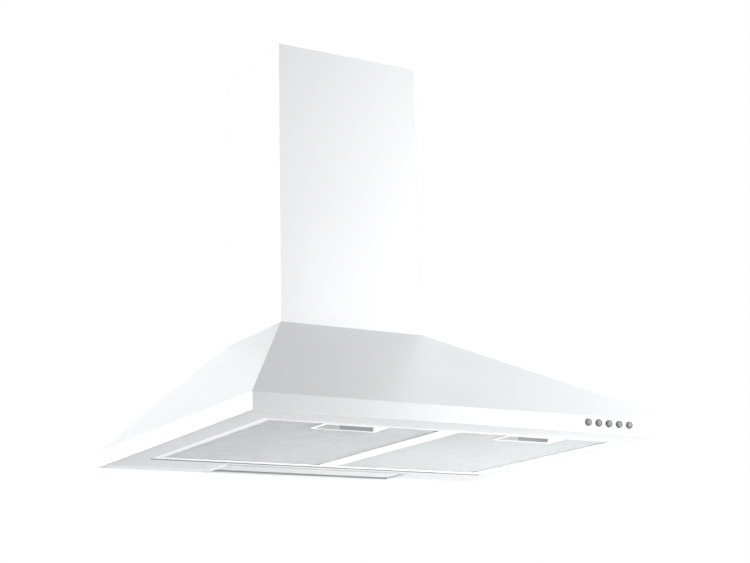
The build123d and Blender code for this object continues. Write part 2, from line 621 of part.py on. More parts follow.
# Push buttons on the fascia, from left to right
BUTTON_FACE = CANOPY_D + BUTTON_PROUD
FLANGE_FACE = CANOPY_D - SHEET - BUTTON_PLAY
BUTTON_NAMES = ["off", "low", "medium", "high", "lamp"]
for x, name in zip(BUTTON_XS, BUTTON_NAMES):
    with BuildPart() as button:
        with BuildSketch(Plane.XZ.offset(BUTTON_FACE)):
            with Locations((x, BUTTON_Z)):
                Circle(BUTTON_R)
        extrude(amount=-BUTTON_L)
        fillet(button.edges().sort_by(Axis.Y)[0], BUTTON_EDGE)
        with BuildSketch(Plane.XZ.offset(FLANGE_FACE)):
            with Locations((x, BUTTON_Z)):
                Circle(BUTTON_FLANGE_R)
        extrude(amount=-BUTTON_FLANGE_T)
    button.part.label = f"button_{name}"
    export_step(button.part, f"parts/button_{name}.step")

# Switch housing behind the buttons: a guide bore for each, stepped for its flange
FLANGE_ROOM = BUTTON_PLAY + BUTTON_FLANGE_T + BUTTON_TRAVEL + BUTTON_PLAY
STEM_ROOM = BUTTON_L - BUTTON_PROUD - SHEET + BUTTON_TRAVEL + BUTTON_PLAY
SWITCH_W = (BUTTON_COUNT - 1) * BUTTON_PITCH + 2 * SWITCH_MARGIN
SWITCH_TOP = BUTTON_Z + SWITCH_OVER
with BuildPart() as switch_housing:
    with BuildSketch(Plane.XZ.offset(CANOPY_D - SHEET)):
        with Locations((BUTTON_MID_X, (SWITCH_TOP + PANEL_TOP) / 2)):
            Rectangle(SWITCH_W, SWITCH_TOP - PANEL_TOP)
    extrude(amount=-SWITCH_D)
    with BuildSketch(Plane.XZ.offset(CANOPY_D - SHEET)):
        with Locations(*[(x, BUTTON_Z) for x in BUTTON_XS]):
            Circle(BUTTON_FLANGE_R + BUTTON_PLAY)
    extrude(amount=-FLANGE_ROOM, mode=Mode.SUBTRACT)
    with BuildSketch(Plane.XZ.offset(CANOPY_D - SHEET)):
        with Locations(*[(x, BUTTON_Z) for x in BUTTON_XS]):
            Circle(BUTTON_R + BUTTON_PLAY)
    extrude(amount=-STEM_ROOM, mode=Mode.SUBTRACT)
switch_housing.part.label = "switch_housing"
export_step(switch_housing.part, "parts/switch_housing.step")

# Lamp lens: a shallow tray that hangs on two pins at its rear corners
LENS_W = LAMP_OPEN_W - 2 * LENS_PLAY
LENS_D = LAMP_OPEN_D - 2 * LENS_PLAY
LENS_Z = RIM_Z + LENS_RECESS
with BuildPart() as lamp_lens:
    with BuildSketch(Plane.XY.offset(LENS_Z)):
        with Locations((0, LAMP_OPEN_Y)):
            Rectangle(LENS_W, LENS_D)
    extrude(amount=LENS_T + LENS_RIM_H)
    fillet(lamp_lens.edges().group_by(Axis.Z)[0], LENS_EDGE_R)
    with BuildSketch(Plane.XY.offset(LENS_Z + LENS_T)):
        with Locations((0, LAMP_OPEN_Y)):
            Rectangle(LENS_W - 2 * LENS_RIM_W, LENS_D - 2 * LENS_RIM_W)
    extrude(amount=LENS_RIM_H, mode=Mode.SUBTRACT)
    for side in (-1, 1):
        with BuildSketch(Plane.YZ.offset(side * (LENS_W / 2 - LENS_RIM_W))):
            with Locations((LENS_AXIS_Y, LENS_AXIS_Z)):
                Circle(LENS_PIN_R)
        extrude(amount=side * (LENS_RIM_W + LENS_PLAY + SHEET))
lamp_lens.part.label = "lamp_lens"
export_step(lamp_lens.part, "parts/lamp_lens.step")

# Lamp tray: the reflector box over the lamp opening
TRAY_IN_W = LAMP_OPEN_W + 2 * (SHEET + TRAY_GAP)
TRAY_IN_D = LAMP_OPEN_D + 2 * (SHEET + TRAY_GAP)
with BuildPart() as lamp_tray:
    with BuildSketch(Plane.XY.offset(PANEL_TOP)):
        with Locations((0, LAMP_OPEN_Y)):
            Rectangle(TRAY_IN_W + 2 * SHEET, TRAY_IN_D + 2 * SHEET)
    extrude(amount=TRAY_H)
    with BuildSketch(Plane.XY.offset(PANEL_TOP)):
        with Locations((0, LAMP_OPEN_Y)):
            Rectangle(TRAY_IN_W, TRAY_IN_D)
    extrude(amount=TRAY_H - SHEET, mode=Mode.SUBTRACT)
lamp_tray.part.label = "lamp_tray"
export_step(lamp_tray.part, "parts/lamp_tray.step")

# Lamp holders and bulbs, turned about the lamp axis from each end of the tray
LAMP_Z = RIM_Z + LAMP_UP
MOUTH_X = TRAY_IN_W / 2 - HOLDER_L
for side, name in ((-1, "left"), (1, "right")):
    lamp_plane = Plane(origin=(side * MOUTH_X, LAMP_OPEN_Y, LAMP_Z), x_dir=(0, 1, 0), z_dir=(-side, 0, 0))

    with BuildPart() as lamp_holder:
        with BuildSketch(lamp_plane):
            Circle(HOLDER_R)
        extrude(amount=-HOLDER_L)
        chamfer(lamp_holder.edges().sort_by(Axis.X, reverse=side < 0)[0], HOLDER_EDGE)
        with BuildSketch(lamp_plane):
            Circle(CAP_R + FIT_PLAY)
        extrude(amount=-CAP_L - FIT_PLAY, mode=Mode.SUBTRACT)
    lamp_holder.part.label = f"lamp_holder_{name}"
    export_step(lamp_holder.part, f"parts/lamp_holder_{name}.step")

    with BuildPart() as bulb_cap:
        with BuildSketch(lamp_plane):
            Circle(CAP_R)
        extrude(amount=-CAP_L)
    bulb_cap.part.label = f"bulb_cap_{name}"
    export_step(bulb_cap.part, f"parts/bulb_cap_{name}.step")

    with BuildPart() as bulb:
        profile_plane = Plane(origin=lamp_plane.origin, x_dir=lamp_plane.z_dir, z_dir=(0, side, 0))
        with BuildSketch(profile_plane):
            with BuildLine():
                globe = CenterArc((BULB_L - BULB_R, 0), BULB_R, 0, BULB_TURN)
                neck = TangentArc(globe @ 1, (0, BULB_NECK_R), tangent=globe % 1)
                Polyline(neck @ 1, (0, 0), globe @ 0)
            make_face()
        revolve(axis=Axis(lamp_plane.origin, lamp_plane.z_dir))
    bulb.part.label = f"bulb_{name}"
    export_step(bulb.part, f"parts/bulb_{name}.step")

# Blower scroll in two halves, split on the middle of the fan
with BuildPart() as scroll_front:
    with BuildSketch(FAN_PLANE.offset(SCROLL_MID)):
        with BuildLine():
            scroll_outline(SCROLL_WALL)
        make_face()
    extrude(amount=SCROLL_W / 2)
    with BuildSketch(Plane.XY.offset(OUTLET_Z)):
        with Locations((0, -(SCROLL_MID + SCROLL_FRONT + OUTLET_FLANGE) / 2)):
            Rectangle(OUTLET_W + 2 * (SCROLL_WALL + OUTLET_FLANGE), SCROLL_W / 2 + OUTLET_FLANGE)
    extrude(amount=-SCROLL_WALL)
    with BuildSketch(FAN_PLANE.offset(SCROLL_MID)):
        with BuildLine():
            scroll_outline(0)
        make_face()
    extrude(amount=SCROLL_W / 2 - SCROLL_WALL, mode=Mode.SUBTRACT)
    with BuildSketch(FAN_PLANE.offset(SCROLL_FRONT)):
        Circle(INLET_R + INLET_DEPTH)
    extrude(amount=-SCROLL_WALL, mode=Mode.SUBTRACT)
scroll_front.part.label = "scroll_front"
export_step(scroll_front.part, "parts/scroll_front.step")

with BuildPart() as scroll_rear:
    with BuildSketch(FAN_PLANE.offset(SCROLL_MID)):
        with BuildLine():
            scroll_outline(SCROLL_WALL)
        make_face()
    extrude(amount=-SCROLL_W / 2)
    with BuildSketch(Plane.XY.offset(OUTLET_Z)):
        with Locations((0, -(SCROLL_MID + SCROLL_REAR - OUTLET_FLANGE) / 2)):
            Rectangle(OUTLET_W + 2 * (SCROLL_WALL + OUTLET_FLANGE), SCROLL_W / 2 + OUTLET_FLANGE)
    extrude(amount=-SCROLL_WALL)
    with BuildSketch(FAN_PLANE.offset(SCROLL_MID)):
        with BuildLine():
            scroll_outline(0)
        make_face()
    extrude(amount=-(SCROLL_W / 2 - SCROLL_WALL), mode=Mode.SUBTRACT)
    with BuildSketch(FAN_PLANE.offset(SCROLL_REAR)):
        Circle(MOTOR_HOLE_R)
    extrude(amount=SCROLL_WALL, mode=Mode.SUBTRACT)
    with BuildSketch(Plane.XZ.offset(SCROLL_REAR)):
        with Locations(*BLOWER_SCREWS):
            Circle(SCREW_R + SCREW_PLAY)
    extrude(amount=SCROLL_WALL, mode=Mode.SUBTRACT)
scroll_rear.part.label = "scroll_rear"
export_step(scroll_rear.part, "parts/scroll_rear.step")

# Inlet ring: a bell mouth turned about the fan axis
with BuildPart() as inlet_ring:
    with BuildSketch(Plane(origin=(BLOWER_X, -SCROLL_FRONT, BLOWER_Z), x_dir=(1, 0, 0), z_dir=(0, 0, 1))):
        with BuildLine():
            curl = (INLET_R + INLET_DEPTH, INLET_DEPTH - INLET_T)
            mouth = CenterArc(curl, INLET_DEPTH, 180, 90)
            back = CenterArc(curl, INLET_DEPTH - INLET_T, 180, 90)
            Polyline(mouth @ 0, (INLET_R, INLET_DEPTH), (INLET_R + INLET_T, INLET_DEPTH), back @ 0)
            Polyline(
                mouth @ 1,
                (INLET_R + INLET_FLANGE, -INLET_T),
                (INLET_R + INLET_FLANGE, 0),
                back @ 1,
            )
        make_face()
    revolve(axis=Axis((BLOWER_X, -SCROLL_FRONT, BLOWER_Z), (0, 1, 0)))
inlet_ring.part.label = "inlet_ring"
export_step(inlet_ring.part, "parts/inlet_ring.step")

# Impeller: a disc with a hub, forward-curved blades on its rim and a ring that ties their front ends
DISC_REAR = SCROLL_REAR + SCROLL_WALL + IMPELLER_GAP
BLADE_INNER = IMPELLER_R - BLADE_DEPTH
BLADE_MID = IMPELLER_R - BLADE_DEPTH / 2
blade_width = degrees(BLADE_T / BLADE_MID)
with BuildSketch() as blade:
    with BuildLine():
        root = ThreePointArc(
            polar(BLADE_INNER + BLADE_EDGE_GAP, 0),
            polar(BLADE_MID, BLADE_SWEEP / 4),
            polar(IMPELLER_R - BLADE_EDGE_GAP, BLADE_SWEEP),
        )
        face = ThreePointArc(
            polar(BLADE_INNER + BLADE_EDGE_GAP, blade_width),
            polar(BLADE_MID, BLADE_SWEEP / 4 + blade_width),
            polar(IMPELLER_R - BLADE_EDGE_GAP, BLADE_SWEEP + blade_width),
        )
        Line(root @ 0, face @ 0)
        Line(root @ 1, face @ 1)
    make_face()
with BuildPart() as impeller_disc:
    with BuildSketch(FAN_PLANE.offset(DISC_REAR)):
        Circle(IMPELLER_R)
    extrude(amount=DISC_T)
    with BuildSketch(FAN_PLANE.offset(DISC_REAR + DISC_T)):
        Circle(HUB_R)
    extrude(amount=HUB_L - DISC_T)
    with BuildSketch(FAN_PLANE.offset(DISC_REAR)):
        Circle(SHAFT_R + HUB_PLAY)
    extrude(amount=HUB_L, mode=Mode.SUBTRACT)
impeller_disc.part.label = "impeller_disc"
export_step(impeller_disc.part, "parts/impeller_disc.step")

with BuildPart() as impeller_blades:
    with BuildSketch(FAN_PLANE.offset(DISC_REAR + DISC_T)):
        with PolarLocations(0, BLADE_COUNT):
            add(blade.sketch)
    extrude(amount=IMPELLER_W - DISC_T - RING_T)
impeller_blades.part.label = "impeller_blades"
export_step(impeller_blades.part, "parts/impeller_blades.step")

with BuildPart() as impeller_ring:
    with BuildSketch(FAN_PLANE.offset(DISC_REAR + IMPELLER_W - RING_T)):
        Circle(IMPELLER_R)
        Circle(BLADE_INNER, mode=Mode.SUBTRACT)
    extrude(amount=RING_T)
impeller_ring.part.label = "impeller_ring"
export_step(impeller_ring.part, "parts/impeller_ring.step")

# Motor shaft and the nut that holds the impeller on it
MOTOR_FACE = SCROLL_REAR - MOTOR_PLATE_T
with BuildPart() as motor_shaft:
    with BuildSketch(FAN_PLANE.offset(MOTOR_FACE - SHAFT_IN_MOTOR)):
        Circle(SHAFT_R)
    extrude(amount=DISC_REAR + HUB_L + NUT_T - MOTOR_FACE + SHAFT_IN_MOTOR)
motor_shaft.part.label = "motor_shaft"
export_step(motor_shaft.part, "parts/motor_shaft.step")

with BuildPart() as shaft_nut:
    with BuildSketch(FAN_PLANE.offset(DISC_REAR + HUB_L)):
        RegularPolygon(NUT_R, 6)
        Circle(SHAFT_R + HUB_PLAY, mode=Mode.SUBTRACT)
    extrude(amount=NUT_T)
shaft_nut.part.label = "shaft_nut"
export_step(shaft_nut.part, "parts/shaft_nut.step")

# Motor plate on the scroll's rear wall, and the motor behind it
with BuildPart() as motor_plate:
    with BuildSketch(FAN_PLANE.offset(MOTOR_FACE)):
        Circle(MOTOR_PLATE_R)
        Circle(SHAFT_R + MOTOR_PLATE_PLAY, mode=Mode.SUBTRACT)
    extrude(amount=MOTOR_PLATE_T)
motor_plate.part.label = "motor_plate"
export_step(motor_plate.part, "parts/motor_plate.step")

with BuildPart() as motor:
    with BuildSketch(FAN_PLANE.offset(MOTOR_FACE)):
        Circle(MOTOR_R)
    extrude(amount=-MOTOR_L)
    fillet(motor.edges().sort_by(Axis.Y)[-1], MOTOR_EDGE)
    with BuildSketch(FAN_PLANE.offset(MOTOR_FACE)):
        Circle(SHAFT_R + SHAFT_PLAY)
    extrude(amount=-SHAFT_IN_MOTOR - SHAFT_PLAY, mode=Mode.SUBTRACT)
motor.part.label = "motor"
export_step(motor.part, "parts/motor.step")

# Hangers: bent strips from the back panel to the scroll's rear wall
for name, (edge, way) in HANGERS.items():
    flange_x = edge + way * HANGER_FLANGE / 2
    with BuildPart() as hanger:
        with BuildSketch(Plane.XY.offset(BLOWER_Z - HANGER_H / 2)):
            with Locations((flange_x, -SCROLL_REAR + HANGER_T / 2), (flange_x, LINING_Y - HANGER_T / 2)):
                Rectangle(HANGER_FLANGE, HANGER_T)
            with Locations((edge + way * HANGER_T / 2, (LINING_Y - SCROLL_REAR) / 2)):
                Rectangle(HANGER_T, SCROLL_REAR + LINING_Y)
        extrude(amount=HANGER_H)
        with BuildSketch(Plane.XZ):
            with Locations(*BLOWER_SCREWS):
                Circle(SCREW_R + SCREW_PLAY)
        extrude(amount=SCROLL_REAR, mode=Mode.SUBTRACT)
    hanger.part.label = f"blower_hanger_{name}"
    export_step(hanger.part, f"parts/blower_hanger_{name}.step")

# Outlet adaptor: a flanged loft from the scroll's mouth to the round spigot
DUCT_BORE = DUCT_R - DUCT_WALL
BASE_Z = OUTLET_Z + ADAPTOR_BASE_T
SPIGOT_Z = BASE_Z + ADAPTOR_H
MOUTH_D = SCROLL_W - 2 * SCROLL_WALL
SPIGOT_Y = -SCROLL_MID
FLAP_Z = SPIGOT_Z + FLAP_UP


def mouth_outline(skin):
    """Draw the scroll mouth's rectangle, skin outside it, from its front left corner."""
    x = OUTLET_W / 2 + skin
    y = MOUTH_D / 2 + skin
    Polyline(*[(-x, SPIGOT_Y - y), (x, SPIGOT_Y - y), (x, SPIGOT_Y + y), (-x, SPIGOT_Y + y)], close=True)


def spigot_outline(radius):
    """Draw a circle as four quarters that face the mouth's four sides."""
    for k in range(4):
        CenterArc((0, SPIGOT_Y), radius, -135 + 90 * k, 90)


with BuildPart() as outlet_adaptor:
    with BuildSketch(Plane.XY.offset(OUTLET_Z)):
        with BuildLine():
            mouth_outline(SCROLL_WALL + OUTLET_FLANGE)
        make_face()
    extrude(amount=ADAPTOR_BASE_T)
    with BuildSketch(Plane.XY.offset(BASE_Z)):
        with BuildLine():
            mouth_outline(SCROLL_WALL)
        make_face()
    with BuildSketch(Plane.XY.offset(SPIGOT_Z)):
        with BuildLine():
            spigot_outline(DUCT_R)
        make_face()
    loft()
    with BuildSketch(Plane.XY.offset(SPIGOT_Z)):
        with Locations((0, SPIGOT_Y)):
            Circle(DUCT_R)
    extrude(amount=DUCT_L)
    with BuildSketch(Plane.XY.offset(BASE_Z)):
        with BuildLine():
            mouth_outline(0)
        make_face()
    with BuildSketch(Plane.XY.offset(SPIGOT_Z)):
        with BuildLine():
            spigot_outline(DUCT_BORE)
        make_face()
    loft(mode=Mode.SUBTRACT)
    with BuildSketch(Plane.XY.offset(OUTLET_Z)):
        with BuildLine():
            mouth_outline(0)
        make_face()
    extrude(amount=ADAPTOR_BASE_T, mode=Mode.SUBTRACT)
    with BuildSketch(Plane.XY.offset(SPIGOT_Z)):
        with Locations((0, SPIGOT_Y)):
            Circle(DUCT_BORE)
    extrude(amount=DUCT_L, mode=Mode.SUBTRACT)
    with BuildSketch(Plane.XY.offset(FLAP_Z - FLAP_T / 2 - KNUCKLE_PLAY)):
        with Locations((0, SPIGOT_Y)):
            Circle(DUCT_BORE)
            Circle(DUCT_BORE - LEDGE_W, mode=Mode.SUBTRACT)
            Rectangle(2 * (KNUCKLE_R + FLAP_PLAY), 2 * DUCT_BORE, mode=Mode.SUBTRACT)
    extrude(amount=-LEDGE_T)
    with BuildSketch(Plane.XZ.offset(SCROLL_MID)):
        with Locations((0, FLAP_Z)):
            Circle(FLAP_PIN_R)
    extrude(amount=DUCT_R, both=True, mode=Mode.SUBTRACT)
outlet_adaptor.part.label = "outlet_adaptor"
export_step(outlet_adaptor.part, "parts/outlet_adaptor.step")

# Hinge pin across the spigot
with BuildPart() as flap_pin:
    with BuildSketch(Plane.XZ.offset(SCROLL_MID)):
        with Locations((0, FLAP_Z)):
            Circle(FLAP_PIN_R)
    extrude(amount=DUCT_R - DUCT_WALL / 2, both=True)
flap_pin.part.label = "flap_pin"
export_step(flap_pin.part, "parts/flap_pin.step")

# Non-return flaps: half discs with knuckles round the pin, each clear of the other's
FLAP_R = DUCT_BORE - FLAP_PLAY
FLAP_INNER = KNUCKLE_R + KNUCKLE_PLAY
for side, name in ((-1, "left"), (1, "right")):
    knuckle_y = [SPIGOT_Y + end * KNUCKLE_SPREAD + side * (KNUCKLE_L + KNUCKLE_PLAY) / 2 for end in (-1, 1)]
    with BuildPart() as flap:
        with BuildSketch(Plane.XY.offset(FLAP_Z - FLAP_T / 2)):
            with Locations((0, SPIGOT_Y)):
                Circle(FLAP_R)
            with Locations((-side * (FLAP_R - FLAP_INNER), SPIGOT_Y)):
                Rectangle(2 * FLAP_R, 2 * FLAP_R, mode=Mode.SUBTRACT)
            with Locations(*[(side * FLAP_INNER / 2, y) for y in knuckle_y]):
                Rectangle(FLAP_INNER + KNUCKLE_PLAY, KNUCKLE_L)
        extrude(amount=FLAP_T)
        for y in knuckle_y:
            with BuildSketch(Plane.XZ.offset(-y - KNUCKLE_L / 2)):
                with Locations((0, FLAP_Z)):
                    Circle(KNUCKLE_R)
            extrude(amount=KNUCKLE_L)
        with BuildSketch(Plane.XZ.offset(SCROLL_MID)):
            with Locations((0, FLAP_Z)):
                Circle(FLAP_PIN_R + KNUCKLE_PLAY)
        extrude(amount=DUCT_R, both=True, mode=Mode.SUBTRACT)
    flap.part.label = f"flap_{name}"
    export_step(flap.part, f"parts/flap_{name}.step")

# Screws of the blower hangers, into the scroll and into the back panel
with BuildPart() as blower_screws:
    for seat, way in ((SCROLL_REAR - HANGER_T, -1), (SHEET + HANGER_T, 1)):
        with BuildSketch(Plane.XZ.offset(seat)):
            with Locations(*BLOWER_SCREWS):
                Circle(SCREW_HEAD_R)
        extrude(amount=way * SCREW_HEAD_H)
        with BuildSketch(Plane.XZ.offset(seat)):
            with Locations(*BLOWER_SCREWS):
                Circle(SCREW_R)
        extrude(amount=-way * (SCREW_L if way < 0 else seat - SCREW_PLAY))
blower_screws.part.label = "blower_screws"
export_step(blower_screws.part, "parts/blower_screws.step")

# Terminal box on the back panel, open to the front, with its lid
BOX_Z = RIM_Z + BOX_UP
BOX_FRONT = SHEET + BOX_D
GLAND_NECK_R = GLAND_R - BOX_WALL
GLAND_X = BOX_X - BOX_W / 2 + BOX_WALL + GLAND_R + FIT_PLAY
GLAND_Y = -(BOX_FRONT - GLAND_R - BOX_WALL)
with BuildPart() as terminal_box:
    with BuildSketch(Plane.XZ.offset(SHEET)):
        with Locations((BOX_X, BOX_Z + BOX_H / 2)):
            Rectangle(BOX_W, BOX_H)
    extrude(amount=BOX_D)
    fillet(terminal_box.edges().filter_by(Axis.Y), BOX_WALL)
    with BuildSketch(Plane.XZ.offset(SHEET + BOX_WALL)):
        with Locations((BOX_X, BOX_Z + BOX_H / 2)):
            Rectangle(BOX_W - 2 * BOX_WALL, BOX_H - 2 * BOX_WALL)
    extrude(amount=BOX_D, mode=Mode.SUBTRACT)
    with BuildSketch(Plane.XY.offset(BOX_Z + BOX_H)):
        with Locations((GLAND_X, GLAND_Y)):
            Circle(GLAND_NECK_R + FIT_PLAY)
    extrude(amount=-BOX_WALL, mode=Mode.SUBTRACT)
terminal_box.part.label = "terminal_box"
export_step(terminal_box.part, "parts/terminal_box.step")

with BuildPart() as terminal_lid:
    with BuildSketch(Plane.XZ.offset(BOX_FRONT)):
        with Locations((BOX_X, BOX_Z + BOX_H / 2)):
            RectangleRounded(BOX_W, BOX_H, BOX_WALL)
    extrude(amount=LID_T)
    with BuildSketch(Plane.XZ.offset(BOX_FRONT)):
        with Locations((BOX_X, BOX_Z + BOX_H / 2)):
            Rectangle(BOX_W - 2 * (BOX_WALL + FIT_PLAY), BOX_H - 2 * (BOX_WALL + FIT_PLAY))
            offset(amount=-LID_RIM, mode=Mode.SUBTRACT)
    extrude(amount=-LID_RIM_H)
terminal_lid.part.label = "terminal_lid"
export_step(terminal_lid.part, "parts/terminal_lid.step")

# Terminal block on the box's rear wall, with a wire hole for each pole
with BuildPart() as terminal_block:
    with BuildSketch(Plane.XZ.offset(SHEET + BOX_WALL)):
        with Locations((BOX_X, BOX_Z + BOX_H / 2)):
            Rectangle(BLOCK_W, BLOCK_H)
    extrude(amount=BLOCK_D)
    with BuildSketch(Plane.XY.offset(BOX_Z + BOX_H / 2)):
        with Locations((BOX_X, -(SHEET + BOX_WALL + BLOCK_D / 2))):
            with GridLocations(BLOCK_W / BLOCK_POLES, 1, BLOCK_POLES, 1):
                Circle(BLOCK_HOLE_R)
    extrude(amount=BLOCK_H, both=True, mode=Mode.SUBTRACT)
terminal_block.part.label = "terminal_block"
export_step(terminal_block.part, "parts/terminal_block.step")

# Cable gland through the top of the box, bored for the mains lead
with BuildPart() as cable_gland:
    with BuildSketch(Plane.XY.offset(BOX_Z + BOX_H)):
        with Locations((GLAND_X, GLAND_Y)):
            RegularPolygon(GLAND_R, 6)
    extrude(amount=GLAND_L)
    with BuildSketch(Plane.XY.offset(BOX_Z + BOX_H)):
        with Locations((GLAND_X, GLAND_Y)):
            Circle(GLAND_NECK_R)
    extrude(amount=-BOX_WALL)
    with BuildSketch(Plane.XY.offset(BOX_Z + BOX_H - BOX_WALL)):
        with Locations((GLAND_X, GLAND_Y)):
            RegularPolygon(GLAND_R, 6)
    extrude(amount=-GLAND_NUT_T)
    with BuildSketch(Plane.XY.offset(BOX_Z + BOX_H + GLAND_L)):
        with Locations((GLAND_X, GLAND_Y)):
            Circle(GLAND_BORE_R)
    extrude(amount=-GLAND_L - BOX_WALL - GLAND_NUT_T, mode=Mode.SUBTRACT)
cable_gland.part.label = "cable_gland"
export_step(cable_gland.part, "parts/cable_gland.step")

# Motor capacitor on the back panel, held by a strap clip
CAPACITOR_Y = -(SHEET + CAPACITOR_R + CLIP_T)
CAPACITOR_Z = RIM_Z + CAPACITOR_UP
CLIP_R = CAPACITOR_R + FIT_PLAY
with BuildPart() as capacitor:
    with BuildSketch(Plane.XY.offset(CAPACITOR_Z)):
        with Locations((CAPACITOR_X, CAPACITOR_Y)):
            Circle(CAPACITOR_R)
    extrude(amount=CAPACITOR_L)
    fillet(capacitor.edges().group_by(Axis.Z)[0], CAPACITOR_EDGE)
    fillet(capacitor.edges().group_by(Axis.Z)[-1], CAPACITOR_EDGE)
capacitor.part.label = "capacitor"
export_step(capacitor.part, "parts/capacitor.step")

with BuildPart() as capacitor_clip:
    with BuildSketch(Plane.XY.offset(CAPACITOR_Z + (CAPACITOR_L - CLIP_H) / 2)):
        with Locations((CAPACITOR_X, CAPACITOR_Y)):
            Circle(CLIP_R + CLIP_T)
        with Locations((CAPACITOR_X, CAPACITOR_Y / 2)):
            Rectangle(2 * (CLIP_R + CLIP_T), -CAPACITOR_Y)
        with Locations((CAPACITOR_X, LINING_Y - CLIP_T / 2)):
            Rectangle(2 * (CLIP_R + CLIP_T + CLIP_EAR), CLIP_T)
        with Locations((CAPACITOR_X, CAPACITOR_Y)):
            Circle(CLIP_R, mode=Mode.SUBTRACT)
        with Locations((CAPACITOR_X, CAPACITOR_Y / 2)):
            Rectangle(2 * CLIP_R, -CAPACITOR_Y, mode=Mode.SUBTRACT)
        with Locations((CAPACITOR_X, LINING_Y / 2)):
            Rectangle(2 * (CLIP_R + CLIP_T), SHEET, mode=Mode.SUBTRACT)
    extrude(amount=CLIP_H)
capacitor_clip.part.label = "capacitor_clip"
export_step(capacitor_clip.part, "parts/capacitor_clip.step")
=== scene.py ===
"""Looks of a white wall-mounted chimney hood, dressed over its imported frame.

Lengths are metres in the part's own frame: the wall is the plane Y = 0, +X is right as seen from the
cooker and +Z is up.
"""

from __future__ import annotations

import json
import logging
import math
from dataclasses import dataclass
from enum import Enum
from functools import cache, cached_property

import bmesh
import bpy
import numpy as np
from bpy.types import Material, Mesh, Node, NodeSocket, NodeTree, Object
from mathutils import Matrix, Vector

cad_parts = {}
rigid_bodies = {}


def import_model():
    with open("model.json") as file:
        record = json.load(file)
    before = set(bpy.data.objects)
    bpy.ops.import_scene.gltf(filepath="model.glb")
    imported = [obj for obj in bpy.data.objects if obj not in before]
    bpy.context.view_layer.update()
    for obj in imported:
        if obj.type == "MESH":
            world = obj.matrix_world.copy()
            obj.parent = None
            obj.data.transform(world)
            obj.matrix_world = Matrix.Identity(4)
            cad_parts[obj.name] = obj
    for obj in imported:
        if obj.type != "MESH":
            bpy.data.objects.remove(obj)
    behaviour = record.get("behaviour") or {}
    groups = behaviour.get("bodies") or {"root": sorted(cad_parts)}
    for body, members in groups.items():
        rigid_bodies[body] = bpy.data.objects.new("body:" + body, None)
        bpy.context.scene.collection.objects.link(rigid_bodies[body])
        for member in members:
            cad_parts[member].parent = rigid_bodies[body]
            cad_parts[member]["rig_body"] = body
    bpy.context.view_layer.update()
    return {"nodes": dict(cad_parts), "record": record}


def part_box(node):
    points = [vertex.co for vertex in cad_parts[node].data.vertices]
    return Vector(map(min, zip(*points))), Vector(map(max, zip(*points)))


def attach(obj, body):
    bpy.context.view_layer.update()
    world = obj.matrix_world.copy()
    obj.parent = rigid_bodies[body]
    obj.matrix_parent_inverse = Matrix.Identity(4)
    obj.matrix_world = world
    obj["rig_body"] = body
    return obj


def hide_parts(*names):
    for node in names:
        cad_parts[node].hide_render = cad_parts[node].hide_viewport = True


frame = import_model()

LOG = logging.getLogger("hood")
MM = 0.001
TURN = 2 * math.pi
WELD = 1e-7
LOOSE_WELD = 100 * WELD
MERGE = 1e-6
FLAT_ANGLE = 0.2
CREASE = 35.0
MESH_CREASE = 80.0
BEVEL_STEPS = 2
OPAQUE = 1.0

Colour = tuple[float, float, float]
Point = tuple[float, float, float]
Array = np.ndarray


class Side(Enum):
    """Which of a mirrored pair a piece is."""

    LEFT = "left"
    RIGHT = "right"


# Meshes


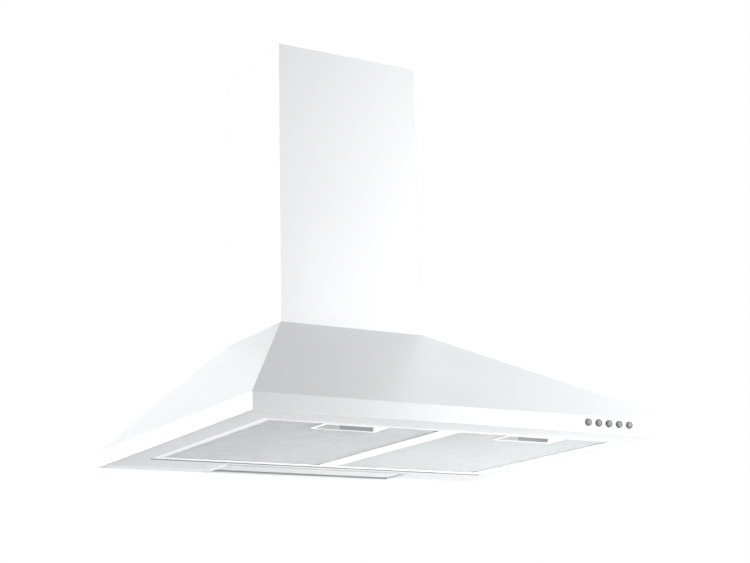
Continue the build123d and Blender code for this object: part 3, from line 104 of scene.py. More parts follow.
@dataclass
class Surface:
    """A mesh in the making: points in metres, faces of four corners and a finish number per face.

    A face whose neighbouring corners are one point stands for a triangle.
    """

    points: Array
    faces: Array
    tags: Array

    @classmethod
    def grid(cls, points: Array, wrap_u: bool = False, wrap_v: bool = False, tag: int = 0) -> Surface:
        """Join neighbouring points of a grid, or of a stack of grids, by faces.

        Args:
            points: Array of shape (..., u, v, 3).
            wrap_u: Whether the last row joins the first.
            wrap_v: Whether the last column joins the first.
            tag: Finish number.

        Returns:
            The surface, welded.
        """
        rows, columns = points.shape[-3:-1]
        index = np.arange(points.size // 3).reshape(-1, rows, columns)
        if wrap_u:
            index = np.concatenate([index, index[:, :1]], axis=1)
        if wrap_v:
            index = np.concatenate([index, index[:, :, :1]], axis=2)
        corners = [index[:, :-1, :-1], index[:, 1:, :-1], index[:, 1:, 1:], index[:, :-1, 1:]]
        faces = np.stack(corners, axis=-1).reshape(-1, 4)
        return cls(points.reshape(-1, 3), faces, np.full(len(faces), tag)).welded()

    @classmethod
    def join(cls, *parts: Surface) -> Surface:
        """Put several surfaces into one mesh without merging them."""
        starts = np.cumsum([0] + [len(part.points) for part in parts[:-1]])
        return cls(
            np.concatenate([part.points for part in parts]),
            np.concatenate([part.faces + start for part, start in zip(parts, starts)]),
            np.concatenate([part.tags for part in parts]),
        )

    def welded(self) -> Surface:
        """Merge points that share a place."""
        keys = np.round(self.points / WELD).astype(np.int64)
        _, first, inverse = np.unique(keys, axis=0, return_index=True, return_inverse=True)
        return Surface(self.points[first], inverse.reshape(-1)[self.faces], self.tags)

    def outward(self) -> Surface:
        """Turn a closed surface's faces outwards, by the sign of the volume that they enclose."""
        a, b, c, d = (self.points[self.faces[:, k]] for k in range(4))
        volume = np.sum(np.cross(b, c) * a) + np.sum(np.cross(c, d) * a)
        return self if volume > 0 else Surface(self.points, self.faces[:, ::-1], self.tags)

    def mesh(self, name: str, crease: float) -> Mesh:
        """Write the surface into a Blender mesh, smooth up to a crease angle.

        Args:
            name: Name of the mesh.
            crease: Angle in degrees past which an edge stays sharp.

        Returns:
            The new mesh.
        """
        keep = self.faces != np.roll(self.faces, -1, axis=1)
        whole = keep.sum(axis=1) >= 3
        corners = self.faces[whole][keep[whole]]
        starts = np.concatenate([[0], np.cumsum(keep[whole].sum(axis=1))[:-1]])
        mesh = bpy.data.meshes.new(name)
        mesh.vertices.add(len(self.points))
        mesh.vertices.foreach_set("co", self.points.astype(np.float32).ravel())
        mesh.loops.add(len(corners))
        mesh.loops.foreach_set("vertex_index", corners.astype(np.int32))
        mesh.polygons.add(len(starts))
        mesh.polygons.foreach_set("loop_start", starts.astype(np.int32))
        mesh.polygons.foreach_set("material_index", self.tags[whole].astype(np.int32))
        mesh.update(calc_edges=True)
        mesh.validate()
        mesh.shade_smooth()
        mesh.set_sharp_from_angle(angle=math.radians(crease))
        return mesh


def arc(centre: tuple[float, float], radius: float, start: float, end: float, count: int = 7) -> Array:
    """Points of a circular arc: centre plus radius times cosine and sine of even steps in degrees."""
    turn = np.radians(np.linspace(start, end, count))
    return np.stack([centre[0] + radius * np.cos(turn), centre[1] + radius * np.sin(turn)], axis=-1)


def around(count: int) -> Array:
    """Angles of even steps round a circle, as one row."""
    return np.linspace(0, TURN, count, endpoint=False)[None, :]


def quarter(count: int) -> Array:
    """Angles of even steps from nought to a right angle, as one column."""
    return np.radians(np.linspace(0, 90, count))[:, None]


def zigzag(count: int) -> Array:
    """Alternate 1 and -1."""
    return np.where(np.arange(count) % 2 == 0, 1.0, -1.0)


def worm(outer: float, depth: float, pitch: float, rise: Array, turns: Array) -> Array:
    """Radii of a thread: outer less half the depth times 1 - cos(turn - whole turn * rise / pitch)."""
    return outer - depth / 2 * (1 - np.cos(turns - TURN * rise / pitch))


def swept(rows: list[tuple[Array | float, Array | float]], steps: int, foot: Array, along: Array,
          wrap: bool = False, tag: int = 0) -> Surface:
    """Carry rows round an axis: foot + along * height + radius * rim(turn).

    Args:
        rows: Radius and height, each a number, a row over the turns, a column of rows or a grid of both.
        steps: Number of turns.
        foot: Point on the axis at height nought.
        along: Unit vector of the axis.
        wrap: Whether the last row joins the first, as round a bore.
        tag: Finish number.

    Returns:
        The surface, facing outwards.
    """
    across = np.array([along[1], along[2], along[0]])
    third = np.cross(along, across)
    grids = [np.broadcast_arrays(*row, around(steps)) for row in rows]
    radius, height, angle = (np.concatenate(grid)[..., None] for grid in zip(*grids))
    points = foot + height * along + radius * (np.cos(angle) * across + np.sin(angle) * third)
    return Surface.grid(points, wrap_u=wrap, wrap_v=True, tag=tag).outward()


def turned(profile: Array, centre: Array, along: Array, count: int, tag: int = 0) -> Surface:
    """Turn pairs of radius and height, which are the same all round, about an axis through a centre."""
    return swept([(profile[:, :1], profile[:, 1:])], count, centre, along, tag=tag)


def carried(section: Array, start: float, end: float) -> Surface:
    """Carry a closed section along X: each point is (x, y, z) with x at an end and y, z of the section.

    Args:
        section: Pairs of Y and Z.
        start: First X.
        end: Last X.

    Returns:
        The bar, with its end faces drawn in to their middles.
    """
    rings = np.empty((4, len(section), 3))
    rings[..., 0] = np.array([start, start, end, end])[:, None]
    rings[..., 1:] = section
    rings[0, :, 1:] = section.mean(axis=0)
    rings[3, :, 1:] = section.mean(axis=0)
    return Surface.grid(rings, wrap_v=True).outward()


# Finishes


MIX_BEFORE, MIX_AFTER, MIX_RESULT = 6, 7, 2
FLOAT = "NodeSocketFloat"
VECTOR = "NodeSocketVector"
COLOUR = "NodeSocketColor"


def fill(node: Node, inputs: dict[str | int, object]) -> Node:
    """Link or set a node's inputs.

    Args:
        node: The node.
        inputs: A socket to link from or a value to set, for each input.

    Returns:
        The same node.
    """
    for key, given in inputs.items():
        if isinstance(given, NodeSocket):
            node.id_data.links.new(given, node.inputs[key])
        else:
            node.inputs[key].default_value = given
    return node


def add(tree: NodeTree, kind: str, inputs: dict[str | int, object]) -> Node:
    """Add a node to a tree, with its inputs linked or set."""
    return fill(tree.nodes.new(kind), inputs)


def use(tree: NodeTree, group: NodeTree, inputs: dict[str | int, object]) -> Node:
    """Add a node that uses a shared group.

    Args:
        tree: Tree that gets the node.
        group: The shared group.
        inputs: As for fill.

    Returns:
        The new node.
    """
    node = tree.nodes.new("ShaderNodeGroup")
    node.node_tree = group
    return fill(node, inputs)


def mixed(tree: NodeTree, factor: NodeSocket, before: object, after: object) -> NodeSocket:
    """Mix two colours, each a socket or a value.

    Args:
        tree: Tree that gets the node.
        factor: Share of the second colour.
        before: The first colour.
        after: The second colour.

    Returns:
        The mixed colour.
    """
    node = tree.nodes.new("ShaderNodeMix")
    node.data_type = "RGBA"
    fill(node, {"Factor": factor, MIX_BEFORE: before, MIX_AFTER: after})
    return node.outputs[MIX_RESULT]


class Pattern(Enum):
    """Shader groups that give a finish its fine relief and its mask."""

    PEEL = "enamel_peel"
    GRAIN = "moulded_grain"
    STREAK = "rolled_streak"
    SPANGLE = "zinc_spangle"
    PRISM = "lens_prism"


@dataclass(frozen=True)
class Noise:
    """A noise of a pattern, with its share of the pattern's scale."""

    share: float
    octaves: float


HEIGHT_NOISE = {
    Pattern.PEEL: Noise(1.0, 1.0), Pattern.GRAIN: Noise(1.0, 2.0), Pattern.STREAK: Noise(1.0, 4.0),
    Pattern.SPANGLE: Noise(4.0, 2.0),
}
MASK_NOISE = {
    Pattern.PEEL: Noise(0.02, 3.0), Pattern.GRAIN: Noise(0.03, 3.0), Pattern.STREAK: Noise(0.25, 3.0),
    Pattern.PRISM: Noise(0.5, 2.0),
}


@dataclass(frozen=True)
class Shading:
    """Builds the shader groups that the finishes share."""

    grain_share: float = 0.35
    mask_low: float = 0.3
    mask_high: float = 0.7
    tone_name: str = "tone_and_gloss"

    @staticmethod
    def start(name: str, inputs: dict[str, str], outputs: dict[str, str]) -> NodeTree:
        """Make an empty group with named sockets.

        Args:
            name: Name of the group.
            inputs: Type of each input.
            outputs: Type of each output.

        Returns:
            The group, with its input and output nodes.
        """
        tree = bpy.data.node_groups.new(name, "ShaderNodeTree")
        for way, sockets in (("INPUT", inputs), ("OUTPUT", outputs)):
            for socket, kind in sockets.items():
                tree.interface.new_socket(socket, in_out=way, socket_type=kind)
        tree.nodes.new("NodeGroupInput")
        tree.nodes.new("NodeGroupOutput")
        return tree

    @staticmethod
    def noise(tree: NodeTree, place: dict[str, NodeSocket], noise: Noise) -> NodeSocket:
        """Add a noise texture.

        Args:
            tree: The group.
            place: The pattern's Vector and Scale.
            noise: Which noise.

        Returns:
            The noise's value.
        """
        share = add(tree, "ShaderNodeMath", {0: place["Scale"], 1: noise.share})
        share.operation = "MULTIPLY"
        inputs = {**place, "Scale": share.outputs[0], "Detail": noise.octaves}
        return add(tree, "ShaderNodeTexNoise", inputs).outputs["Fac"]

    @cache
    def group(self, pattern: Pattern) -> NodeTree:
        """Build the group of a pattern once.

        Peel, grain and streak are noises, with masks of wider patches. Spangle has a tone for each Voronoi
        cell, like zinc crystals. Prism has rows of fine prisms across a lens.

        Args:
            pattern: Which pattern.

        Returns:
            A group with a Scale and a Stretch in and a Height and a Mask out.
        """
        outputs = {"Height": FLOAT, "Mask": FLOAT}
        tree = self.start(pattern.value, {"Scale": FLOAT, "Stretch": VECTOR}, outputs)
        given = tree.nodes["Group Input"].outputs
        spot = tree.nodes.new("ShaderNodeTexCoord").outputs["Object"]
        mapping = add(tree, "ShaderNodeMapping", {"Vector": spot, "Scale": given["Stretch"]})
        place = {"Vector": mapping.outputs[0], "Scale": given["Scale"]}
        if pattern is Pattern.PRISM:
            wave = add(tree, "ShaderNodeTexWave", place)
            wave.bands_direction = "X"
            wave.wave_profile = "TRI"
            height = wave.outputs["Fac"]
        else:
            height = self.noise(tree, place, HEIGHT_NOISE[pattern])
        if pattern is Pattern.SPANGLE:
            cells = add(tree, "ShaderNodeTexVoronoi", place)
            mask = add(tree, "ShaderNodeSeparateColor", {"Color": cells.outputs["Color"]}).outputs["Red"]
        else:
            mask = self.noise(tree, place, MASK_NOISE[pattern])
        if pattern is Pattern.GRAIN:
            blend = add(tree, "ShaderNodeMath", {0: height, 1: self.grain_share, 2: mask})
            blend.operation = "MULTIPLY_ADD"
            mask = blend.outputs[0]
        fill(tree.nodes["Group Output"], {"Height": height, "Mask": mask})
        return tree

    @cache
    def tone_group(self) -> NodeTree:
        """Build once the group that mixes two tones and two gloss values by one mask of widened contrast.

        Returns:
            A group with a Color and a Roughness out.
        """
        inputs = {"Mask": FLOAT, "Tone": COLOUR, "Shade": COLOUR, "Gloss": FLOAT, "Dull": FLOAT}
        tree = self.start(self.tone_name, inputs, {"Color": COLOUR, "Roughness": FLOAT})
        given = tree.nodes["Group Input"].outputs
        limits = {"From Min": self.mask_low, "From Max": self.mask_high}
        spread = add(tree, "ShaderNodeMapRange", {"Value": given["Mask"], **limits}).outputs["Result"]
        ends = {"To Min": given["Gloss"], "To Max": given["Dull"]}
        gloss = add(tree, "ShaderNodeMapRange", {"Value": spread, **ends}).outputs["Result"]
        colour = mixed(tree, spread, given["Tone"], given["Shade"])
        fill(tree.nodes["Group Output"], {"Color": colour, "Roughness": gloss})
        return tree


SHADING = Shading()


@dataclass(frozen=True)
class Finish:
    """One surface finish, with its pattern, its two tones and how glossy each is."""

    name: str
    slot: str
    tone: Colour
    shade: Colour
    gloss: float
    dull: float
    scale: float
    depth: float
    pattern: Pattern = Pattern.GRAIN
    stretch: Point = (1.0, 1.0, 1.0)
    relief: float = 0.3
    metallic: float = 0.0
    coat: float = 0.0
    transmission: float = 0.0

    @cache
    def material(self) -> Material:
        """Make the finish's material once.

        Returns:
            A Principled material whose tone, roughness and bump come from the shared groups.
        """
        material = bpy.data.materials.new(self.name)
        material.use_nodes = True
        material.diffuse_color = (*self.tone, OPAQUE)
        tree = material.node_tree
        relief = use(tree, SHADING.group(self.pattern), {"Scale": self.scale, "Stretch": self.stretch})
        tone = use(tree, SHADING.tone_group(), {
            "Mask": relief.outputs["Mask"],
            "Tone": (*self.tone, OPAQUE),
            "Shade": (*self.shade, OPAQUE),
            "Gloss": self.gloss,
            "Dull": self.dull,
        })
        bump = add(tree, "ShaderNodeBump", {
            "Strength": self.relief,
            "Distance": self.depth,
            "Height": relief.outputs["Height"],
        })
        fill(tree.nodes["Principled BSDF"], {
            "Base Color": tone.outputs["Color"],
            "Roughness": tone.outputs["Roughness"],
            "Metallic": self.metallic,
            "Coat Weight": self.coat,
            "Transmission Weight": self.transmission,
            "Normal": bump.outputs["Normal"],
        })
        return material


WHITE_ENAMEL = Finish(
    "white_enamel_coat", "white_enamel", (0.800, 0.815, 0.822), (0.794, 0.809, 0.817), 0.42, 0.48,
    pattern=Pattern.PEEL, scale=420.0, depth=0.00006, relief=0.05, coat=0.08,
)
# The canopy's white enamel painted darker for the underside plate: painted shade on the downward-facing
# plate.
SHADED_UNDERSIDE_ENAMEL = Finish(
    "shaded_underside_enamel", "white_enamel", (0.598, 0.610, 0.616), (0.590, 0.602, 0.608), 0.34, 0.40,
    pattern=Pattern.PEEL, scale=420.0, depth=0.00006, relief=0.05, coat=0.1,
)
ZINC_STEEL = Finish(
    "galvanised_sheet", "zinc_steel", (0.60, 0.62, 0.63), (0.52, 0.54, 0.55), 0.36, 0.50,
    pattern=Pattern.SPANGLE, scale=110.0, depth=0.00005, metallic=1.0,
)
SCREW_STEEL = Finish(
    "zinc_plated_screw", "screw_steel", (0.66, 0.67, 0.68), (0.48, 0.49, 0.50), 0.25, 0.42,
    scale=1500.0, depth=0.00003, metallic=1.0,
)
FRAME_ALUMINIUM = Finish(
    "rolled_aluminium_bar", "aluminium_frame", (0.87, 0.88, 0.885), (0.83, 0.84, 0.845), 0.30, 0.42,
    pattern=Pattern.STREAK, scale=260.0, depth=0.00004, stretch=(1.0, 0.05, 1.0), metallic=0.15,
)
# The frame's aluminium painted darker for the lip: painted shade on the bars' outer parts.
SHADED_LIP_ALUMINIUM = Finish(
    "shaded_aluminium_lip", "aluminium_frame", (0.70, 0.71, 0.72), (0.66, 0.67, 0.68), 0.45, 0.58,
    pattern=Pattern.STREAK, scale=260.0, depth=0.00004, stretch=(1.0, 0.05, 1.0), metallic=0.1,
)
MESH_ALUMINIUM = Finish(
    "expanded_aluminium", "aluminium_mesh", (0.957, 0.967, 0.968), (0.897, 0.907, 0.908), 0.42, 0.58,
    pattern=Pattern.STREAK, scale=500.0, depth=0.00003, stretch=(1.0, 0.3, 1.0), metallic=0.12,
)
# The crimped inner layer, painted darker than the strands as shade deep in the filter.
SHADED_CORE_ALUMINIUM = Finish(
    "shaded_crimped_core", "aluminium_mesh", (0.782, 0.789, 0.790), (0.702, 0.709, 0.710), 0.40, 0.55,
    scale=700.0, depth=0.00010, metallic=0.05,
)
HANDLE_GREY = Finish(
    "grained_grey_moulding", "handle_grey", (0.76, 0.77, 0.78), (0.70, 0.71, 0.72), 0.38, 0.52,
    scale=1400.0, depth=0.00005,
)
# Painted shade: a mid grey for the shaded part of each handle's pocket and for the lamp collar's ends.
PAINTED_SHADE_GREY = Finish(
    "painted_shade_grey", "handle_grey", (0.51, 0.52, 0.53), (0.45, 0.46, 0.47), 0.60, 0.75,
    scale=1600.0, depth=0.00008,
)
BUTTON_BEZEL = Finish(
    "silver_painted_bezel", "button_silver", (0.22, 0.224, 0.228), (0.18, 0.184, 0.188), 0.42, 0.54,
    scale=2200.0, depth=0.00002,
)
BUTTON_CAP = Finish(
    "bright_button_cap", "button_silver", (0.27, 0.275, 0.28), (0.24, 0.245, 0.25), 0.45, 0.55,
    scale=2200.0, depth=0.00001, metallic=0.1,
)
BLACK_MOULDING = Finish(
    "black_moulding", "switch_black", (0.030, 0.030, 0.033), (0.022, 0.022, 0.024), 0.40, 0.55,
    scale=1400.0, depth=0.00005,
)
# Painted shadow: a dark grey for the gap line at the filters' rear edge and the recess round the lens.
SHADOW_GREY = Finish(
    "painted_shadow_grey", "switch_black", (0.385, 0.391, 0.397), (0.325, 0.331, 0.337), 0.70, 0.85,
    scale=1800.0, depth=0.00010,
)
LENS_FROST = Finish(
    "frosted_lens", "lens_frost", (0.70, 0.71, 0.71), (0.66, 0.67, 0.67), 0.34, 0.44,
    pattern=Pattern.PRISM, scale=160.0, depth=0.0002, transmission=0.15,
)
BULB_OPAL = Finish(
    "opal_bulb_glass", "bulb_glass", (0.92, 0.91, 0.88), (0.88, 0.87, 0.84), 0.10, 0.20,
    pattern=Pattern.PEEL, scale=300.0, depth=0.00005, transmission=0.3,
)
CAP_NICKEL = Finish(
    "nickel_cap", "cap_nickel", (0.72, 0.70, 0.66), (0.58, 0.56, 0.52), 0.18, 0.34,
    scale=1200.0, depth=0.00003, metallic=1.0,
)
HOLDER_WHITE = Finish(
    "heat_proof_white", "holder_white", (0.74, 0.73, 0.69), (0.68, 0.67, 0.63), 0.36, 0.50,
    scale=1200.0, depth=0.00004,
)
BLOWER_BLACK = Finish(
    "blower_black_moulding", "blower_black", (0.040, 0.040, 0.044), (0.028, 0.028, 0.031), 0.36, 0.54,
    scale=900.0, depth=0.00006,
)
MOTOR_LACQUER = Finish(
    "motor_lacquer", "motor_grey", (0.13, 0.135, 0.14), (0.10, 0.104, 0.108), 0.30, 0.46,
    pattern=Pattern.PEEL, scale=700.0, depth=0.00008, coat=0.1,
)
SHAFT_STEEL = Finish(
    "ground_shaft_steel", "shaft_steel", (0.64, 0.65, 0.66), (0.50, 0.51, 0.52), 0.16, 0.30,
    pattern=Pattern.STREAK, scale=1600.0, depth=0.00002, stretch=(0.1, 1.0, 0.1), metallic=1.0,
)
NUT_BRASS = Finish(
    "plain_brass", "nut_brass", (0.72, 0.52, 0.22), (0.56, 0.38, 0.14), 0.22, 0.40,
    scale=1400.0, depth=0.00003, metallic=1.0,
)
FLAP_GREY = Finish(
    "flap_grey_moulding", "flap_grey", (0.10, 0.105, 0.11), (0.075, 0.08, 0.084), 0.40, 0.56,
    scale=1100.0, depth=0.00005,
)
BOX_GREY = Finish(
    "box_grey_moulding", "box_grey", (0.46, 0.47, 0.47), (0.40, 0.41, 0.41), 0.36, 0.52,
    scale=1200.0, depth=0.00005,
)
CAPACITOR_WHITE = Finish(
    "capacitor_can", "capacitor_white", (0.72, 0.72, 0.70), (0.64, 0.64, 0.61), 0.34, 0.48,
    scale=1000.0, depth=0.00004,
)
FINISHES = (
    WHITE_ENAMEL, ZINC_STEEL, SCREW_STEEL, FRAME_ALUMINIUM, MESH_ALUMINIUM, HANDLE_GREY, BUTTON_BEZEL,
    BLACK_MOULDING, LENS_FROST, BULB_OPAL, CAP_NICKEL, HOLDER_WHITE, BLOWER_BLACK, MOTOR_LACQUER, SHAFT_STEEL,
    NUT_BRASS, FLAP_GREY, BOX_GREY, CAPACITOR_WHITE,
)


# Placing pieces


def body_of(node: str) -> str:
    """Name the body that a CAD node rides on."""
    return frame["nodes"][node]["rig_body"]


def put(surface: Surface, name: str, finishes: list[Finish], node: str, crease: float = CREASE,
        instead: bool = True) -> Object:
    """Make a piece from a surface, smooth up to a crease angle in degrees."""
    return adopt(surface.mesh(name, crease), name, finishes, node, instead)


def adopt(mesh: Mesh, name: str, finishes: list[Finish], node: str, instead: bool = True) -> Object:
    """Link a mesh into the scene as a piece.

    Args:
        mesh: The piece's mesh, in place.
        name: Name of the piece.
        finishes: Finishes by finish number.
        node: CAD node whose body the piece rides on.
        instead: Whether the piece stands in for the node.

    Returns:
        The new object.
    """
    for entry in finishes:
        mesh.materials.append(entry.material())
    piece = bpy.data.objects.new(name, mesh)
    bpy.context.scene.collection.objects.link(piece)
    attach(piece, body_of(node))
    if instead:
        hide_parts(node)
    LOG.info("%s: %d faces", name, len(mesh.polygons))
    return piece


def soften(node: str, width: float, finish: Finish | None = None) -> Object:
    """Stand a copy of a CAD node in for it, merged and with a narrow bevel on its sharp edges.

    Args:
        node: CAD node to copy.
        width: Width of the bevel.
        finish: Finish of the copy, where it isn't the one of the node's slot.

    Returns:
        The new object.
    """
    work = bmesh.new()
    work.from_mesh(frame["nodes"][node].data)
    bmesh.ops.remove_doubles(work, verts=work.verts, dist=MERGE)
    bmesh.ops.dissolve_limit(work, angle_limit=math.radians(FLAT_ANGLE), verts=work.verts, edges=work.edges)
    mesh = bpy.data.meshes.new(f"{node}_softened")
    work.to_mesh(mesh)
    work.free()
    custom = mesh.attributes.get("custom_normal")
    if custom is not None:
        mesh.attributes.remove(custom)
    mesh.materials.clear()
    mesh.shade_smooth()
    mesh.set_sharp_from_angle(angle=math.radians(CREASE))
    piece = adopt(mesh, mesh.name, [finish or finish_of(node)], node)
    bevel = piece.modifiers.new("edge", "BEVEL")
    bevel.width = width
    bevel.segments = BEVEL_STEPS
    bevel.limit_method = "ANGLE"
    bevel.angle_limit = math.radians(CREASE)
    bevel.harden_normals = True
    return piece


def finish_of(node: str) -> Finish:
    """Give the finish of a CAD node, by its slot in the record."""
    slots = {part["node"]: part["material_slot"] for part in frame["record"]["subparts"]}
    return next(finish for finish in FINISHES if finish.slot == slots[node])


def dress(node: str) -> None:
    """Give a CAD node's own mesh the finish of its record slot."""
    materials = frame["nodes"][node].data.materials
    materials.clear()
    materials.append(finish_of(node).material())


def span(node: str) -> tuple[Array, Array]:
    """Give a CAD node's lowest and highest corners as arrays."""
    low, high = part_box(node)
    return np.array(low), np.array(high)


def read(elements: bpy.types.bpy_prop_collection, name: str, kind: type) -> Array:
    """Read three numbers from each element of a mesh.

    Args:
        elements: Its vertices, polygons or triangles.
        name: Name of the value.
        kind: Type of the numbers.

    Returns:
        Array of shape (elements, 3).
    """
    values = np.empty(3 * len(elements), dtype=kind)
    elements.foreach_get(name, values)
    return values.reshape(-1, 3)


# Sub-assemblies


@dataclass
class FilterCassette:
    """One grease filter: layers of expanded mesh in a rolled frame, with a handle and a latch."""

    side: Side
    long_way: float = 8.0 * MM
    short_way: float = 4.4 * MM
    strand: float = 1.0 * MM
    thickness: float = 0.36 * MM
    tilt: float = 42.0
    weave: float = 0.1
    stagger: float = 0.25
    levels: tuple[float, ...] = (0.6 * MM, 1.6 * MM, 2.6 * MM, 4.4 * MM)
    handle_lap: float = 2.0 * MM
    grip: float = 3.5 * MM
    clip: tuple[float, float] = (10.0 * MM, 10.0 * MM)
    core_lift: float = 3.25 * MM
    core_wave: float = 0.35 * MM
    core_pitch: float = 4.0 * MM
    core_thickness: float = 0.3 * MM
    lip_outer: float = 5.5 * MM
    lip_middle: float = 2.5 * MM
    lip_front: float = 10.0 * MM
    lip_rear: float = 0.6 * MM
    lip_over: float = 2.5 * MM
    lip_rise: float = 0.9 * MM
    lip_depth: float = 0.15 * MM
    lip_sink: float = 0.05 * MM
    bead_start: float = 0.15
    bead_span: float = 0.6
    lip_steps: int = 5
    handle_skin: float = 4.2 * MM
    pad_start: float = 0.42
    pad_proud: float = 0.15 * MM
    pad_inset: float = 0.6 * MM
    pad_height: float = 9.0 * MM
    edge: float = 0.3 * MM

    def node(self, stem: str) -> str:
        """Name this side's node or piece of a kind."""
        return f"{stem}_{self.side.value}"

    @cached_property
    def pocket(self) -> tuple[Array, Array]:
        """Corners of the part of the mesh that the handle takes."""
        low, high = span(self.node("filter_handle"))
        return low + self.handle_lap, high - self.handle_lap

    @cached_property
    def clipped(self) -> Array:
        """Front left corner of the piece that is clipped off the mesh at its rear right corner."""
        _, high = span(self.node("filter_mesh"))
        return high[:2] - self.grip - np.array(self.clip)

    def strands(self, rows: Array, start: float, end: float, height: float, swap: bool) -> Surface:
        """Zigzag strands: row + (-1)^k * (short way / 4) * triangle wave of the place along the strand.

        Each strand has a three-cornered section that is tilted as slitting and stretching leaves it.

        Args:
            rows: Places of the strands' middles, half the short way apart.
            start: Where the strands begin.
            end: Where they end.
            height: Level of the layer.
            swap: Whether the strands run along Y instead of X.

        Returns:
            The closed strands.
        """
        count = max(int((end - start) / (self.long_way / 2)) + 1, 2)
        wave = zigzag(count) * self.short_way / 4
        odd = zigzag(len(rows))[:, None]
        across = rows[:, None] + odd * wave
        level = height + odd * self.weave * self.thickness + 0 * across
        lean = math.radians(self.tilt)
        half = self.strand / 2
        thin = self.thickness
        slope = np.array([math.cos(lean), math.sin(lean)])
        section = np.array([-half * slope, half * slope, [-thin * slope[1], thin * slope[0]]])
        rings = np.zeros((len(rows), count + 2, 3, 3))
        rings[:, 1:-1, :, 0] = np.linspace(start, end, count)[:, None]
        rings[:, 1:-1, :, 1] = across[:, :, None] + section[:, 0]
        rings[:, 1:-1, :, 2] = level[:, :, None] + section[:, 1]
        rings[:, 0] = rings[:, 1].mean(axis=1, keepdims=True)
        rings[:, -1] = rings[:, -2].mean(axis=1, keepdims=True)
        if swap:
            rings = rings[..., [1, 0, 2]]
        return Surface.grid(rings, wrap_v=True).outward()

    def layer(self, index: int) -> Surface:
        """One expanded sheet, cut away at the handle and at the open rear corner.

        Args:
            index: Layer number from below; odd layers run from front to rear.

        Returns:
            The strands of the layer.
        """
        low, high = span(self.node("filter_mesh"))
        keep = self.strand
        swap = index % 2 == 1
        main, cross = (1, 0) if swap else (0, 1)
        start, end = low[main] + keep, high[main] - keep
        pitch = self.short_way / 2
        first = low[cross] + keep + self.stagger * pitch * index
        rows = np.arange(first, high[cross] - keep, pitch)
        height = low[2] + self.levels[index]
        near, far = self.pocket
        ends = np.full(len(rows), end)
        ends[rows > self.clipped[cross]] = self.clipped[main]
        inside = (rows > near[cross]) & (rows < far[cross])
        runs = [
            (rows[inside], start, near[main]),
            (rows[inside], far[main], end),
            *[(rows[~inside & (ends == stop)], start, stop) for stop in np.unique(ends)],
        ]
        return Surface.join(*[self.strands(line, first, last, height, swap) for line, first, last in runs])

    def crimp(self, left: float, right: float, front: float, rear: float) -> Surface:
        """Crimped foil: level + wave * triangle wave of x, carried straight from front to rear.

        Args:
            left: First X.
            right: Last X.
            front: First Y.
            rear: Last Y.

        Returns:
            A closed sheet.
        """
        low, _ = span(self.node("filter_mesh"))
        count = 2 * max(round((right - left) / self.core_pitch), 1) + 1
        across = np.linspace(left, right, count)
        level = low[2] + self.core_lift + self.core_wave * zigzag(count)
        top = np.stack([across, level + self.core_thickness], axis=-1)
        loop = np.concatenate([np.stack([across, level], axis=-1), top[::-1]])
        rings = np.empty((2, len(loop), 3))
        rings[..., [0, 2]] = loop
        rings[..., 1] = np.array([[front], [rear]])
        lids = np.stack([rings[:, :count], rings[:, :count - 1:-1]], axis=1)
        sheet = Surface.join(Surface.grid(rings, wrap_v=True, tag=1), Surface.grid(lids[0], tag=1),
                             Surface.grid(lids[1][::-1], tag=1))
        return sheet.welded().outward()

    def core(self) -> Surface:
        """Lay the crimped layer in strips round the handle and the clipped corner."""
        low, high = span(self.node("filter_mesh"))
        low, high = low + self.strand, high - self.strand
        near, far = self.pocket
        clip_x, clip_y = self.clipped
        strips = [
            (low[0], near[0], low[1], clip_y),
            (near[0], far[0], low[1], near[1]),
            (near[0], far[0], far[1], clip_y),
            (far[0], high[0], low[1], clip_y),
            (low[0], clip_x, clip_y, high[1]),
        ]
        return Surface.join(*[self.crimp(*strip) for strip in strips])

    def lip(self) -> Surface:
        """Pressed lip: a flat bead along each bar, then a rise to the mesh, in a darker aluminium as painted
        shade over the bars' outer parts.

        It lies depth * sin(pi * (bead start + bead span * a)) below the bar and rise * b above it. From 0
        to 1, a runs over the bar and b from the bar's edge to the mesh.

        Returns:
            A closed ring with mitred corners, sunk a little way into the frame.
        """
        mesh_low, mesh_high = span(self.node("filter_mesh"))
        frame_low, _ = span(self.node("filter_frame"))
        edge_low, edge_high = mesh_low[:2] + self.grip, mesh_high[:2] - self.grip
        sides = (self.lip_outer, self.lip_middle)
        left, right = sides if self.side is Side.LEFT else sides[::-1]
        over_bar = np.concatenate([np.linspace(0.0, 1.0, self.lip_steps), np.ones(self.lip_steps)])
        to_mesh = np.concatenate([np.zeros(self.lip_steps), np.linspace(0.0, 1.0, self.lip_steps + 1)[1:]])
        shift = 1.0 - over_bar[:, None]
        low = edge_low - shift * np.array([left, self.lip_front]) + self.lip_over * to_mesh[:, None]
        high = edge_high + shift * np.array([right, self.lip_rear]) - self.lip_over * to_mesh[:, None]
        bead = self.lip_depth * np.sin(math.pi * (self.bead_start + self.bead_span * over_bar))
        under = np.empty((4, len(over_bar), 3))
        under[..., 0] = np.stack([low[:, 0], high[:, 0], high[:, 0], low[:, 0]])
        under[..., 1] = np.stack([low[:, 1], low[:, 1], high[:, 1], high[:, 1]])
        under[..., 2] = frame_low[2] - bead + self.lip_rise * to_mesh
        over = under[:, ::-1].copy()
        over[..., 2] = frame_low[2] + self.lip_sink + self.lip_rise * to_mesh[::-1]
        return Surface.grid(np.concatenate([under, over], axis=1), wrap_u=True, wrap_v=True).outward()

    def pad(self) -> Surface:
        """Darker oblong carried along the right part of the handle's rear wall: painted shade in the handle's
        pocket.
        """
        low, high = span(self.node("filter_handle"))
        wall = high[1] - self.handle_skin
        left, right = low[0] + self.handle_skin, high[0] - self.handle_skin
        start = left + self.pad_start * (right - left)
        front, back = wall - self.pad_proud, wall + self.lip_sink
        foot, crown = low[2] + self.pad_inset, low[2] + self.pad_height
        section = np.array([[back, foot], [front, foot], [front, crown], [back, crown]])
        return carried(section, start, right - self.pad_inset)

